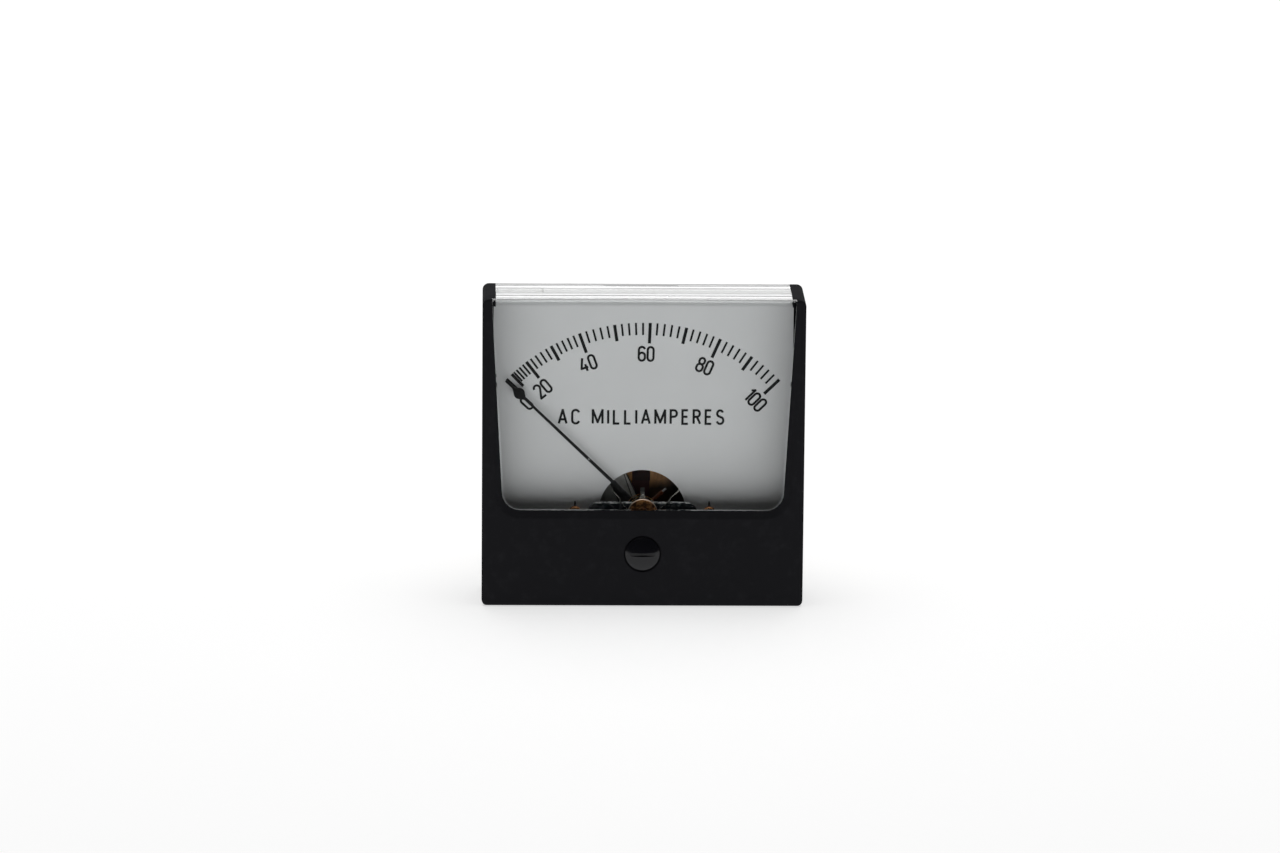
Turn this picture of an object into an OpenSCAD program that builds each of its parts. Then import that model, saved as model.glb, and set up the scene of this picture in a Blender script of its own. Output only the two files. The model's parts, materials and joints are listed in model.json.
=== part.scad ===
// Rectangular analogue panel meter with a moving-iron movement.
// The origin is on the barrel's axis, in the plane of the panel's front face.
// X runs to the right of the dial, Y away from the reader and Z up.

/* [Cover] */
// Width of the cover
cover_w = 80.3; // [78:0.1:100]
// Height of the cover
cover_h = 78; // [76:0.5:100]
// Depth of the cover in front of the panel
cover_d = 21; // [21:0.5:26]
// Thickness of the cover's side walls
side_t = 2.3; // [1.8:0.1:2.8]
// Thickness of the front, bottom and top walls
wall_t = 2; // [1.6:0.1:2.2]
// Radius of the cover's corners, seen from the front
corner_r = 1.6; // [1:0.1:3]
// Radius of the cover's front edges
edge_r = 0.6; // [0.3:0.1:1.2]

/* [Window] */
// Height of the window's lower edge above the pointer's axis
win_rise = 1.2; // [0.6:0.1:2]
// How far the window's side leans in between its top and bottom
win_lean = 2.9; // [1:0.1:4]
// Radius of the window's lower corners
win_r = 4.7; // [3:0.1:7]
// Width of the sloped border round the window
border_w = 2; // [1:0.1:2.4]
// Depth of the sloped border beside the window
border_d = 0.8; // [0.4:0.1:1.2]
// Width of the ledges that carry the clear top wall
ledge_w = 1; // [0.6:0.1:1.6]
// Bevel round the front of the clear pane
pane_bevel = 0.35; // [0.2:0.05:0.6]
// Joint between the clear window and the black bezel
cement_gap = 0.05; // [0.02:0.01:0.1]

/* [Case] */
// Outer radius of the barrel behind the panel
barrel_r = 34.5; // [34:0.5:36.5]
// Length of the barrel behind the panel
barrel_l = 19.5; // [18.5:0.5:50]
// Thickness of the barrel's wall
barrel_t = 2.5; // [1.8:0.1:2.8]
// Thickness of the barrel's back
back_t = 3; // [2:0.1:4]
// Thickness of the flange behind the cover
flange_t = 3; // [2.6:0.1:3.4]
// Distance between the mounting studs, both ways
stud_pitch = 63.5; // [62:0.5:66]
// Radius of the mounting studs
stud_r = 2.08; // [1.5:0.01:2.4]
// Length of the mounting studs behind the panel
stud_l = 16; // [10:0.5:24]
// Distance between the terminals
terminal_pitch = 38; // [30:0.5:42]
// Radius of the terminal studs
terminal_r = 3.175; // [2:0.025:3.6]
// Length of the terminal studs behind the barrel
terminal_l = 20; // [17:0.5:30]

/* [Dial] */
// Thickness of the dial plate
dial_t = 0.6; // [0.4:0.1:1]
// Distance from the cover's front to the dial
dial_depth = 9; // [8.6:0.1:10]
// Radius of the opening in the dial above the movement
opening_r = 11; // [9.6:0.1:12]
// How far the opening's centre lies below the pointer's axis
opening_drop = 1.2; // [0:0.1:2]
// Distance between the dial screws
dial_screw_pitch = 33.6; // [32:0.1:40]
// Radius of the dial screws' heads
dial_head_r = 1.7; // [1.4:0.1:2]

/* [Zero adjuster] */
// Distance from the pointer's axis down to the adjuster
adjuster_drop = 9.8; // [9:0.1:11]
// Radius of the adjuster's domed head
adjuster_r = 4.3; // [3.5:0.1:5]
// Height of the dome over its rim
dome_h = 1.5; // [1:0.1:2]
// Radius of the adjuster's stem
stem_r = 2; // [1.9:0.05:2.6]
// Offset of the eccentric pin from the adjuster's axis
pin_offset = 1.3; // [0.8:0.05:1.35]
// Radius of the eccentric pin
pin_r = 0.6; // [0.4:0.05:0.65]
// Side clearance of the pin in the lever's fork
fork_gap = 0.15; // [0.12:0.01:0.3]

/* [Movement] */
// Height of the pointer's axis, measured from the barrel's axis
pivot_z = -15.8; // [-17:0.1:-15]
// Distance from the pointer's axis to its tip
pointer_l = 47.5; // [40:0.5:48]
// Angle of the pointer at rest, left of vertical
rest_angle = 46.2; // [40:0.1:50]
// Radius of the pointer's shaft
shaft_r = 0.5; // [0.4:0.05:0.6]
// Radius of the jewel screws
jewel_screw_r = 1.55; // [1.4:0.05:1.8]
// Running clearance round the jewel screw in the zero lever
lever_gap = 0.07; // [0.03:0.01:0.09]
// Radius of the front lock nut
lock_nut_r = 3.75; // [3:0.05:4.2]
// Width of the front bridge
bridge_w = 27.4; // [22:0.1:28]
// Height of the front bridge's top edge above the pointer's axis
bridge_rise = 2.5; // [2:0.1:3]
// Thickness of the front bridge
bridge_t = 1.4; // [1:0.1:1.5]
// Reach of the balance arms
arm_l = 8; // [6.5:0.1:8.2]
// Outer radius of the hairspring
spring_r = 4.3; // [3:0.1:4.4]
// Turns of the hairspring
spring_turns = 5; // [3:1:6]
// Inner radius of the damping chamber
chamber_r = 12.2; // [11:0.1:12.4]
// Outer radius of the coil
coil_r = 12.6; // [10.5:0.1:12.8]
// Radius of the bobbin's bore
bobbin_bore_r = 6.4; // [6:0.1:7]
// Length of the bobbin
coil_l = 17; // [14:0.5:19]
// Width of the tape strap over the coil
strap_w = 4.2; // [3:0.1:5]

/* [Hidden] */
$fn = 96;
// Overlap that keeps cuts clean
eps = 0.01;
// Gap round a part pressed or screwed into another
fit = 0.02;

// Cover
half_w = cover_w / 2;
half_h = cover_h / 2;
front_y = -cover_d;
inner_front_y = front_y + wall_t;
inner_half_w = half_w - side_t;
inner_half_h = half_h - wall_t;
top_half_w = inner_half_w - ledge_w;

// Window outline: a trapezium with round lower corners
win_bottom_z = pivot_z + win_rise;
win_top_half = inner_half_w;
win_slope = win_lean / (half_h - win_bottom_z);
win_q = sqrt(1 + win_slope * win_slope);
win_cx = win_top_half - win_lean + win_slope * win_r - win_r * win_q;
win_cz = win_bottom_z + win_r;

// Adjuster
adjuster_z = pivot_z - adjuster_drop;
adjuster_seat_y = front_y + 0.7;
adjuster_rim = 0.5;
adjuster_under_y = adjuster_seat_y - 0.1;
dome_sphere_r = (adjuster_r * adjuster_r + dome_h * dome_h) / (2 * dome_h);
dome_top_y = adjuster_under_y - adjuster_rim - dome_h;
slot_reach = 3.1;
slot_floor = dome_sphere_r - sqrt(dome_sphere_r * dome_sphere_r - slot_reach * slot_reach);
slot_w = 0.9;
stem_end_y = inner_front_y + 0.8;
clip_y = inner_front_y + 0.05;
clip_t = 0.4;

// Depths of the movement's planes, from the dial forwards and backwards
dial_y = front_y + dial_depth;
dial_back_y = dial_y + dial_t;
pointer_t = 0.3;
pointer_y = dial_y - 1.8;
cross_y = pointer_y + pointer_t;
cross_t = 0.5;
bridge_y = dial_y - 4.8;
bridge_back_y = bridge_y + bridge_t;
lever_t = 0.5;
lever_y = bridge_y - 0.1 - lever_t;
lock_nut_t = 0.8;
lock_nut_y = lever_y - 0.1 - lock_nut_t;
base_front_y = -flange_t - 4;
coil_y = base_front_y + 1.2;
coil_back_y = coil_y + coil_l;
cover_plate_t = 0.4;
chamber_top_y = dial_back_y + 1;
cover_plate_y = chamber_top_y - cover_plate_t;

// Bearings
jewel_r = 0.8;
jewel_t = 0.8;
screw_lip = 0.2;
front_screw_y = lock_nut_y - 0.3;
front_screw_end = bridge_back_y + screw_lip;
front_jewel_y = front_screw_end - jewel_t - 0.1;
cup_r = shaft_r - 0.05;
cup_end_r = 0.08;
cup_depth = 0.45;
shaft_start = front_screw_end + 0.2;
pivot_cone_l = 0.6;
pivot_tip_r = 0.05;
rear_bridge_y = coil_back_y;
rear_screw_y = rear_bridge_y - 0.6;
rear_jewel_y = rear_screw_y + 0.1;
shaft_end = rear_screw_y - 0.2;
rear_nut_y = rear_bridge_y + bridge_t;
rear_screw_l = 4;

// Movement base: a disc seated on the flange, cut off above the coil
base_r = barrel_r + 1;
base_top = 14;
base_screw_angles = [15, 165, -30, -150];
base_screw_ring = barrel_r - 0.9;
base_screw_r = 1;
base_screw_head_r = 1.8;
base_screw_head_t = 1.2;
base_screw_l = 6;
recess_r = coil_r + 0.7;
shaft_hole_r = 2.4;

// Angles clockwise from straight up, or from the pointer on what turns with it
chamber_from = -139;
chamber_to = -29.5;
chamber_edge_from = -142;
chamber_edge_to = -26;
chamber_wall = 1.2;
chamber_wall_start = 4;
vane_lag = -84.1;
vane_centre = 167;
cover_lug_angles = [-60, -109];
cover_lug_ring = chamber_r + 2.8;
lug_screw_r = 0.5;
window_to = 118;
arm_angles = [94, 184, 274];

// Balance arms, vanes and coil
arm_r = 0.25;
arm_y = cross_y + cross_t / 2;
iron_t = 0.42;
iron_y = coil_y + 3;
iron_l = coil_l - 7;
bobbin_wall = 0.8;

// Front bridge and its posts
post_x = chamber_r + 0.3;
post_z = -9.2;
post_r = 1.8;
post_screw_r = 0.9;
notch_half = post_x + post_r + 0.3;
notch_top = -4;

// Posts of the rear bridge, each with a stub below and a screw above
rear_post_x = coil_r + 4.4;
rear_post_r = 2.2;
rear_stub_r = 1;
rear_stub_l = 2.4;
rear_screw_head_r = 1.9;
rear_screw_head_t = 1.2;
rear_post_screw_l = 5;

// Dial
dial_half_w = inner_half_w - 0.5;
dial_bottom = pivot_z - 11.5;
lip_top = inner_half_h - 0.1;
lip_back_y = -0.4;
bend_r = 1.2;
dial_screw_z = pivot_z - 1.2;
dial_screw_r = 0.9;
dial_head_t = 0.9;
dial_screw_l = 4;
dial_post_r = 2.6;
dial_rest_x = 22;
dial_rest_z = 8;
dial_rest_r = 2.4;

// Zero lever
lever_ring_r = 3.2;
fork_half = 1.8;
fork_top = pin_offset - adjuster_drop + 1.1;
fork_end = -adjuster_drop - 0.6;
tab_half = 0.75;
tab_z = spring_r + 0.2;
tab_t = 0.4;
tab_back_y = pointer_y - 0.4;
tab_end_z = tab_z + 1.3;

// Hairspring
spring_t = 0.12;
spring_h = 0.3;
spring_y = bridge_back_y + 0.55;
collet_r = 1;
collet_h = 0.45;
spring_steps = 36;

// Case
flange_half_w = inner_half_w - 0.1;
flange_top = lip_top - dial_t - 0.1;
flange_bottom = -inner_half_h + 0.1;
barrel_in_r = barrel_r - barrel_t;
stud_shank_r = stud_r + 0.5;
stud_head_r = stud_shank_r + 0.9;
stud_head_t = 1.8;
cover_screw_x = 22;
cover_screw_z = -inner_half_h + 3.6;
cover_screw_r = 1.1;
cover_head_r = 2.7;
cover_head_t = 1.4;
boss_r = 3;
boss_l = 13;

// Terminals
terminal_x = terminal_pitch / 2;
pad_t = 0.8;
washer_t = 1;
nut_t = 4;
washer_r = terminal_r * 2.2;
nut_r = terminal_r * 2.02;
terminal_back_y = barrel_l + pad_t;
lug_t = 0.6;
inner_nut_t = 2.6;
inner_nut_y = barrel_l - back_t - inner_nut_t;
lug_y = inner_nut_y - lug_t;
terminal_start = lug_y - 2;
lead_r = 0.6;

// Colours
phenolic = [0.07, 0.07, 0.08];
matt_black = [0.1, 0.1, 0.11];
clear = [0.85, 0.9, 0.95, 0.35];
dial_white = [0.86, 0.87, 0.88];
brass = [0.72, 0.52, 0.25];
bronze = [0.55, 0.3, 0.13];
steel = [0.6, 0.6, 0.62];
aluminium = [0.7, 0.71, 0.72];
slate = [0.13, 0.16, 0.19];
amber = [0.62, 0.36, 0.1];
maroon = [0.22, 0.05, 0.03];
copper = [0.7, 0.35, 0.2];
ruby = [0.6, 0.1, 0.15];

// ---- Helpers ----

// A flat plate from y to y + t, its outline drawn in X and Z
module plate(y, t) {
    translate([0, y + t, 0]) rotate([90, 0, 0]) linear_extrude(t) children();
}

// A round bar or cone along Y, starting at y
module rod(x, z, y, l, r, r2 = -1) {
    translate([x, y, z]) rotate([-90, 0, 0]) cylinder(h = l, r1 = r, r2 = r2 < 0 ? r : r2);
}

// A ring along Y
module ring(x, z, y, l, r_in, r_out) {
    difference() {
        rod(x, z, y, l, r_out);
        rod(x, z, y - eps, l + 2 * eps, r_in);
    }
}

// Moves what is drawn round the pointer's axis to its place
module at_pivot() {
    translate([0, 0, pivot_z]) children();
}

// A rectangle with round corners between two opposite corners
module round_rect(x0, x1, z0, z1, r) {
    translate([x0 + r, z0]) square([x1 - x0 - 2 * r, z1 - z0]);
    translate([x0, z0 + r]) square([x1 - x0, z1 - z0 - 2 * r]);
    for (x = [x0 + r, x1 - r], z = [z0 + r, z1 - r]) translate([x, z]) circle(r);
}

// A wedge of the plane between two angles clockwise from straight up
module wedge(from, to, reach) {
    steps = 8;
    polygon(concat([[0, 0]],
        [for (i = [0:steps]) let (a = from + (to - from) * i / steps) reach * [sin(a), cos(a)]]));
}

// A sector of a ring between two angles
module ring_sector(r_in, r_out, from, to) {
    intersection() {
        difference() {
            circle(r_out);
            circle(r_in);
        }
        wedge(from, to, 2 * r_out);
    }
}

// A ring of points carried along one stretch of a wire to the mitre plane at its end
function carry(ring, step, at, normal) =
    [for (p = ring) p + step * ((at - p) * normal) / (step * normal)];

// The rings of a wire from its point i on
function wire_rings(points, ring, i) =
    i >= len(points) ? [] :
    let (step = points[i] - points[i - 1],
        next = i + 1 < len(points) ? points[i + 1] - points[i] : step,
        normal = step / norm(step) + next / norm(next),
        moved = carry(ring, step, points[i], normal))
    concat([moved], wire_rings(points, moved, i + 1));

// A wire bent along a list of points, mitred at the bends
module wire(points, r) {
    sides = 10;
    d = (points[1] - points[0]) / norm(points[1] - points[0]);
    side = cross(d, abs(d[0]) < 0.8 ? [1, 0, 0] : [0, 0, 1]);
    u = side / norm(side);
    v = cross(d, u);
    first = [for (k = [0:sides - 1]) points[0] + r * (cos(360 * k / sides) * u + sin(360 * k / sides) * v)];
    rings = concat([first], wire_rings(points, first, 1));
    n = len(rings);
    polyhedron(points = [for (ring = rings, p = ring) p], faces = concat(
        [[for (k = [0:sides - 1]) k]],
        [for (i = [0:n - 2], k = [0:sides - 1]) let (j = (k + 1) % sides)
            [i * sides + k, (i + 1) * sides + k, (i + 1) * sides + j, i * sides + j]],
        [[for (k = [sides - 1:-1:0]) (n - 1) * sides + k]]));
}

// A screw with its head towards the reader: head from y back by head_t, shank behind it
module front_screw(x, z, y, head_r, head_t, shank_r, shank_l) {
    difference() {
        union() {
            rod(x, z, y, head_t * 0.4, head_r * 0.82, head_r);
            rod(x, z, y + head_t * 0.4, head_t * 0.6, head_r);
            rod(x, z, y + head_t - eps, shank_l, shank_r);
        }
        translate([x - head_r * 1.1, y - eps, z - head_r * 0.13])
            cube([head_r * 2.2, head_t * 0.5, head_r * 0.26]);
    }
}

// The same screw driven from behind, its head's outer face at y
module back_screw(x, z, y, head_r, head_t, shank_r, shank_l) {
    translate([x, y, z]) rotate([0, 0, 180]) front_screw(0, 0, 0, head_r, head_t, shank_r, shank_l);
}

// ---- Cover ----

// The cover's outer form: three rounded outlines crossed
module cover_block() {
    reach = 200;
    intersection() {
        plate(front_y, cover_d) round_rect(-half_w, half_w, -half_h, half_h, corner_r);
        translate([0, 0, -reach / 2]) linear_extrude(reach)
            round_rect(-half_w, half_w, front_y, reach, edge_r);
        translate([-reach / 2, 0, 0]) rotate([90, 0, 90]) linear_extrude(reach)
            round_rect(front_y, reach, -half_h, half_h, edge_r);
    }
}

// The window's outline, grown by g all round and ending at top_z
module window_outline(g, top_z) {
    r = win_r + g;
    touch = [win_cx + r / win_q, win_cz - r * win_slope / win_q];
    top = [touch[0] + win_slope * (top_z - touch[1]), top_z];
    polygon([[-win_cx, win_cz - r], [win_cx, win_cz - r], touch, top,
        [-top[0], top[1]], [-touch[0], touch[1]]]);
    for (s = [-1, 1]) translate([s * win_cx, win_cz]) circle(r);
}

// The sloped border: straight below and beside the window, conical at its corners
module border_cut() {
    inner_x = win_cx + win_r;
    outer_x = inner_x + border_w;
    slope_y = front_y + border_d;
    clear_y = front_y - 1;
    tall = half_h - win_cz + 1;
    for (s = [0, 1]) mirror([s, 0, 0]) {
        translate([0, 0, win_cz]) linear_extrude(tall)
            polygon([[outer_x, front_y], [inner_x, slope_y], [inner_x - 2, slope_y],
                [inner_x - 2, clear_y], [outer_x, clear_y]]);
        rod(win_cx, win_cz, front_y, border_d, win_r + border_w, win_r);
        rod(win_cx, win_cz, clear_y, 1, win_r + border_w);
    }
    translate([-win_cx, 0, 0]) rotate([90, 0, 90]) linear_extrude(2 * win_cx)
        polygon([[front_y, win_bottom_z - border_w], [slope_y, win_bottom_z],
            [slope_y, win_bottom_z + 2], [clear_y, win_bottom_z + 2], [clear_y, win_bottom_z - border_w]]);
}

module bezel() {
    color(matt_black) difference() {
        union() {
            difference() {
                cover_block();
                translate([-inner_half_w, inner_front_y, -inner_half_h])
                    cube([2 * inner_half_w, cover_d, 2 * inner_half_h]);
                translate([-top_half_w, inner_front_y - eps, inner_half_h - eps])
                    cube([2 * top_half_w, cover_d, wall_t + 1]);
                plate(front_y - 1, wall_t + 1 + eps) window_outline(0, half_h + 1);
                border_cut();
            }
            for (s = [-1, 1]) {
                rod(s * cover_screw_x, cover_screw_z, -flange_t - fit - boss_l, boss_l, boss_r);
                translate([s * cover_screw_x - 1, -flange_t - fit - boss_l, -inner_half_h - eps])
                    cube([2, boss_l, cover_screw_z + inner_half_h]);
            }
        }
        rod(0, adjuster_z, front_y - 1, 1 + adjuster_seat_y - front_y, adjuster_r + 0.3);
        rod(0, adjuster_z, front_y - 1, wall_t + 2, stem_r + 0.06);
        for (s = [-1, 1]) rod(s * cover_screw_x, cover_screw_z, -flange_t - 10, 11, cover_screw_r + fit);
    }
}

// The clear moulding: bevelled front pane and top wall in one piece
module window() {
    top_z = half_h - cement_gap;
    color(clear) union() {
        hull() {
            plate(front_y + pane_bevel, wall_t - pane_bevel) window_outline(-cement_gap, top_z);
            plate(front_y, eps) window_outline(-cement_gap - pane_bevel, top_z - pane_bevel);
        }
        translate([-top_half_w + cement_gap, inner_front_y - eps, inner_half_h])
            cube([2 * (top_half_w - cement_gap), cover_d - wall_t + eps, top_z - inner_half_h]);
    }
}

module cover_screws() {
    color(steel) for (s = [-1, 1])
        back_screw(s * cover_screw_x, cover_screw_z, -0.1, cover_head_r, cover_head_t, cover_screw_r, 10);
}

// ---- Case ----

module case() {
    chamfer = 1;
    color(phenolic) difference() {
        union() {
            plate(-flange_t, flange_t) round_rect(-flange_half_w, flange_half_w, flange_bottom, flange_top, 2);
            rotate([-90, 0, 0]) rotate_extrude() polygon([[0, -flange_t], [barrel_r, -flange_t],
                [barrel_r, barrel_l - chamfer], [barrel_r - chamfer, barrel_l], [0, barrel_l]]);
            for (s = [-1, 1]) rod(s * terminal_x, 0, barrel_l - eps, pad_t + eps, washer_r + 0.8);
        }
        rod(0, 0, -flange_t - eps, flange_t + barrel_l - back_t + eps, barrel_in_r);
        for (s = [-1, 1]) {
            rod(s * terminal_x, 0, 0, barrel_l + 5, terminal_r + fit);
            rod(s * cover_screw_x, cover_screw_z, -flange_t - 1, flange_t + 2, cover_screw_r + 0.3);
            rod(s * cover_screw_x, cover_screw_z, -cover_head_t - 0.12, 2, cover_head_r + 0.15);
        }
        for (x = [-1, 1], z = [-1, 1]) {
            rod(x * stud_pitch / 2, z * stud_pitch / 2, -flange_t - 1, flange_t + 2, stud_shank_r + fit);
            rod(x * stud_pitch / 2, z * stud_pitch / 2, -flange_t - 1, stud_head_t + 1, stud_head_r + fit);
        }
        for (a = base_screw_angles)
            rod(base_screw_ring * cos(a), base_screw_ring * sin(a), -flange_t - 1, 3.4,
                base_screw_r + fit);
    }
}

module mounting_studs() {
    color(steel) for (x = [-1, 1], z = [-1, 1]) {
        rod(x * stud_pitch / 2, z * stud_pitch / 2, -flange_t, stud_head_t, stud_head_r);
        rod(x * stud_pitch / 2, z * stud_pitch / 2, -flange_t, flange_t, stud_shank_r);
        rod(x * stud_pitch / 2, z * stud_pitch / 2, -eps, stud_l - 0.6 + eps, stud_r);
        rod(x * stud_pitch / 2, z * stud_pitch / 2, stud_l - 0.6, 0.6, stud_r, stud_r - 0.5);
    }
}

module terminal_studs() {
    end_y = terminal_back_y + terminal_l;
    color(brass) for (s = [-1, 1]) {
        rod(s * terminal_x, 0, terminal_start, end_y - 0.7 - terminal_start, terminal_r);
        rod(s * terminal_x, 0, end_y - 0.7, 0.7, terminal_r, terminal_r - 0.6);
    }
}

// A hexagon nut or a washer round a terminal stud
module terminal_hex(y, t) {
    for (s = [-1, 1]) difference() {
        translate([s * terminal_x, y, 0]) rotate([-90, 30, 0]) cylinder(h = t, r = nut_r, $fn = 6);
        rod(s * terminal_x, 0, y - 1, t + 2, terminal_r + fit);
    }
}

module terminal_inner_nuts() {
    color(brass) terminal_hex(inner_nut_y, inner_nut_t);
}

module terminal_washers() {
    color(brass) for (s = [-1, 1], y = [0, washer_t + nut_t])
        ring(s * terminal_x, 0, terminal_back_y + y, washer_t, terminal_r + 0.2, washer_r);
}

module terminal_nuts() {
    color(brass) for (y = [washer_t, 2 * washer_t + nut_t]) terminal_hex(terminal_back_y + y, nut_t);
}

// ---- Dial ----

// A folded sheet: the dial itself and a lip that runs back under the clear top
module dial_plate() {
    bend_z = lip_top - bend_r;
    bend_y = dial_y + bend_r;
    color(dial_white) difference() {
        translate([-dial_half_w, 0, 0]) rotate([90, 0, 90]) linear_extrude(2 * dial_half_w) {
            translate([dial_y, dial_bottom]) square([dial_t, bend_z - dial_bottom]);
            translate([bend_y, lip_top - dial_t]) square([lip_back_y - bend_y, dial_t]);
            intersection() {
                translate([bend_y, bend_z]) difference() {
                    circle(bend_r);
                    circle(bend_r - dial_t);
                }
                translate([dial_y, bend_z]) square([bend_r, bend_r]);
            }
        }
        at_pivot() plate(dial_y - 1, dial_t + 2) {
            translate([0, -opening_drop]) circle(opening_r);
            translate([-opening_r, -20]) square([2 * opening_r, 20 - opening_drop]);
            translate([-notch_half, -20]) square([2 * notch_half, 20 + notch_top]);
        }
        for (s = [-1, 1]) {
            rod(s * dial_screw_pitch / 2, dial_screw_z, dial_y - 1, dial_t + 2, dial_screw_r + 0.1);
            translate([s * dial_screw_pitch / 2 - 0.2, dial_y - 1, dial_screw_z]) cube([0.4, dial_t + 2, 3]);
        }
    }
}

module dial_screws() {
    color(bronze) for (s = [-1, 1])
        front_screw(s * dial_screw_pitch / 2, dial_screw_z, dial_y - dial_head_t, dial_head_r, dial_head_t,
            dial_screw_r, dial_screw_l);
}

// ---- Zero adjuster ----

module adjuster_screw() {
    color(phenolic) difference() {
        union() {
            intersection() {
                translate([0, dome_top_y + dome_sphere_r, adjuster_z]) sphere(dome_sphere_r);
                rod(0, adjuster_z, dome_top_y - eps, dome_h + adjuster_rim + eps, adjuster_r);
            }
            rod(0, adjuster_z, adjuster_under_y - eps, stem_end_y - adjuster_under_y + eps, stem_r);
            rod(0, adjuster_z + pin_offset, stem_end_y - eps, bridge_y + 0.2 - stem_end_y + eps, pin_r);
        }
        translate([-adjuster_r - 1, dome_top_y - 1, adjuster_z - slot_w / 2])
            cube([2 * adjuster_r + 2, 1 + slot_floor, slot_w]);
    }
}

module adjuster_clip() {
    color(steel) ring(0, adjuster_z, clip_y, clip_t, stem_r + fit, stem_r + 1.4);
}

// ---- Movement base and damping chamber ----

module movement_base() {
    color(phenolic) difference() {
        union() {
            intersection() {
                rod(0, 0, base_front_y, -flange_t - base_front_y, base_r);
                translate([-base_r, base_front_y, -base_r])
                    cube([2 * base_r, -flange_t - base_front_y, base_r + base_top]);
            }
            at_pivot() plate(chamber_top_y, base_front_y - chamber_top_y + eps) {
                ring_sector(chamber_r, chamber_r + chamber_wall, chamber_edge_from, chamber_edge_to);
                ring_sector(chamber_wall_start, chamber_r + chamber_wall, chamber_edge_from, chamber_from);
                ring_sector(chamber_wall_start, chamber_r + chamber_wall, chamber_to, chamber_edge_to);
            }
            for (a = cover_lug_angles)
                rod(cover_lug_ring * sin(a), pivot_z + cover_lug_ring * cos(a),
                    chamber_top_y, base_front_y - chamber_top_y + eps, 1.4);
            for (s = [-1, 1]) {
                rod(s * dial_screw_pitch / 2, dial_screw_z, dial_back_y,
                    base_front_y - dial_back_y + eps, dial_post_r);
                rod(s * dial_rest_x, dial_rest_z, dial_back_y,
                    base_front_y - dial_back_y + eps, dial_rest_r);
            }
        }
        at_pivot() {
            rod(0, 0, coil_y, 20, recess_r);
            rod(0, 0, base_front_y - 1, 20, shaft_hole_r);
            plate(base_front_y - 1, 20) ring_sector(0, recess_r, chamber_edge_to, window_to);
            for (s = [-1, 1]) {
                rod(s * post_x, post_z, base_front_y - eps, 3, post_screw_r + fit);
                rod(s * rear_post_x, 0, -flange_t - rear_stub_l - 0.1, 3, rear_stub_r + fit);
            }
        }
        for (a = cover_lug_angles)
            rod(cover_lug_ring * sin(a), pivot_z + cover_lug_ring * cos(a), chamber_top_y - 1, 4,
                lug_screw_r + fit);
        for (s = [-1, 1])
            rod(s * dial_screw_pitch / 2, dial_screw_z, dial_back_y - 1, 5, dial_screw_r + fit);
        for (a = base_screw_angles)
            rod(base_screw_ring * cos(a), base_screw_ring * sin(a), base_front_y - 1, 6, base_screw_r + fit);
    }
}

module base_screws() {
    color(steel) for (a = base_screw_angles)
        front_screw(base_screw_ring * cos(a), base_screw_ring * sin(a), base_front_y - base_screw_head_t,
            base_screw_head_r, base_screw_head_t, base_screw_r, base_screw_l);
}

// A pressed sheet lid with two radial creases and lugs for its screws
module damping_cover() {
    outer = chamber_r + chamber_wall;
    color(aluminium) at_pivot() difference() {
        plate(cover_plate_y, cover_plate_t) {
            ring_sector(3, outer, chamber_edge_from, chamber_edge_to);
            for (a = cover_lug_angles) translate(cover_lug_ring * [sin(a), cos(a)]) circle(1.6);
        }
        for (a = [-30, -36]) rotate([0, a, 0]) translate([-0.12, cover_plate_y - eps, 3.6])
            cube([0.24, 0.15, outer]);
        for (a = cover_lug_angles)
            rod(cover_lug_ring * sin(a), cover_lug_ring * cos(a), cover_plate_y - 1, 2, lug_screw_r + 0.1);
    }
}

module damping_cover_screws() {
    color(steel) at_pivot() for (a = cover_lug_angles)
        front_screw(cover_lug_ring * sin(a), cover_lug_ring * cos(a), cover_plate_y - 0.5, 1.1, 0.5,
            lug_screw_r, 3);
}

// ---- Front bridge ----

module front_bridge() {
    color(slate) at_pivot() difference() {
        plate(bridge_y, bridge_t) {
            round_rect(-bridge_w / 2, bridge_w / 2, -4.5, bridge_rise, 2.8);
            for (s = [-1, 1]) {
                translate([s * post_x, post_z]) circle(2.8);
                translate([s * (bridge_w / 2 - 2.2) - 2.2, post_z]) square([4.4, -post_z - 1]);
            }
        }
        rod(0, 0, bridge_y - 1, bridge_t + 2, jewel_screw_r + fit);
        for (s = [-1, 1]) rod(s * post_x, post_z, bridge_y - 1, bridge_t + 2, post_screw_r + 0.1);
    }
}

module bridge_posts() {
    color(brass) at_pivot() for (s = [-1, 1]) difference() {
        rod(s * post_x, post_z, bridge_back_y, base_front_y - bridge_back_y, post_r);
        rod(s * post_x, post_z, bridge_back_y - 1, 20, post_screw_r + fit);
    }
}

module bridge_screws() {
    head_t = 1.3;
    shank_l = base_front_y + 2.5 - bridge_y;
    color(steel) at_pivot() for (s = [-1, 1])
        front_screw(s * post_x, post_z, bridge_y - head_t, 1.9, head_t, post_screw_r, shank_l);
}

// A jewel screw of length l, with a slot at one end and the jewel's seat at the other
module jewel_screw(l) {
    difference() {
        rod(0, 0, 0, l, jewel_screw_r);
        rod(0, 0, l - jewel_t - 0.1, 2, jewel_r);
        translate([-jewel_screw_r * 1.2, -eps, -0.2]) cube([jewel_screw_r * 2.4, 0.7, 0.4]);
    }
}

// A cup jewel whose cup opens towards +Y
module cup_jewel() {
    difference() {
        rod(0, 0, 0, jewel_t, jewel_r - fit);
        rod(0, 0, jewel_t - cup_depth, cup_depth + eps, cup_end_r, cup_r);
    }
}

module front_jewel_screw() {
    color(brass) at_pivot() translate([0, front_screw_y, 0]) jewel_screw(front_screw_end - front_screw_y);
}

module front_jewel() {
    color(ruby) at_pivot() translate([0, front_jewel_y, 0]) cup_jewel();
}

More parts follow.
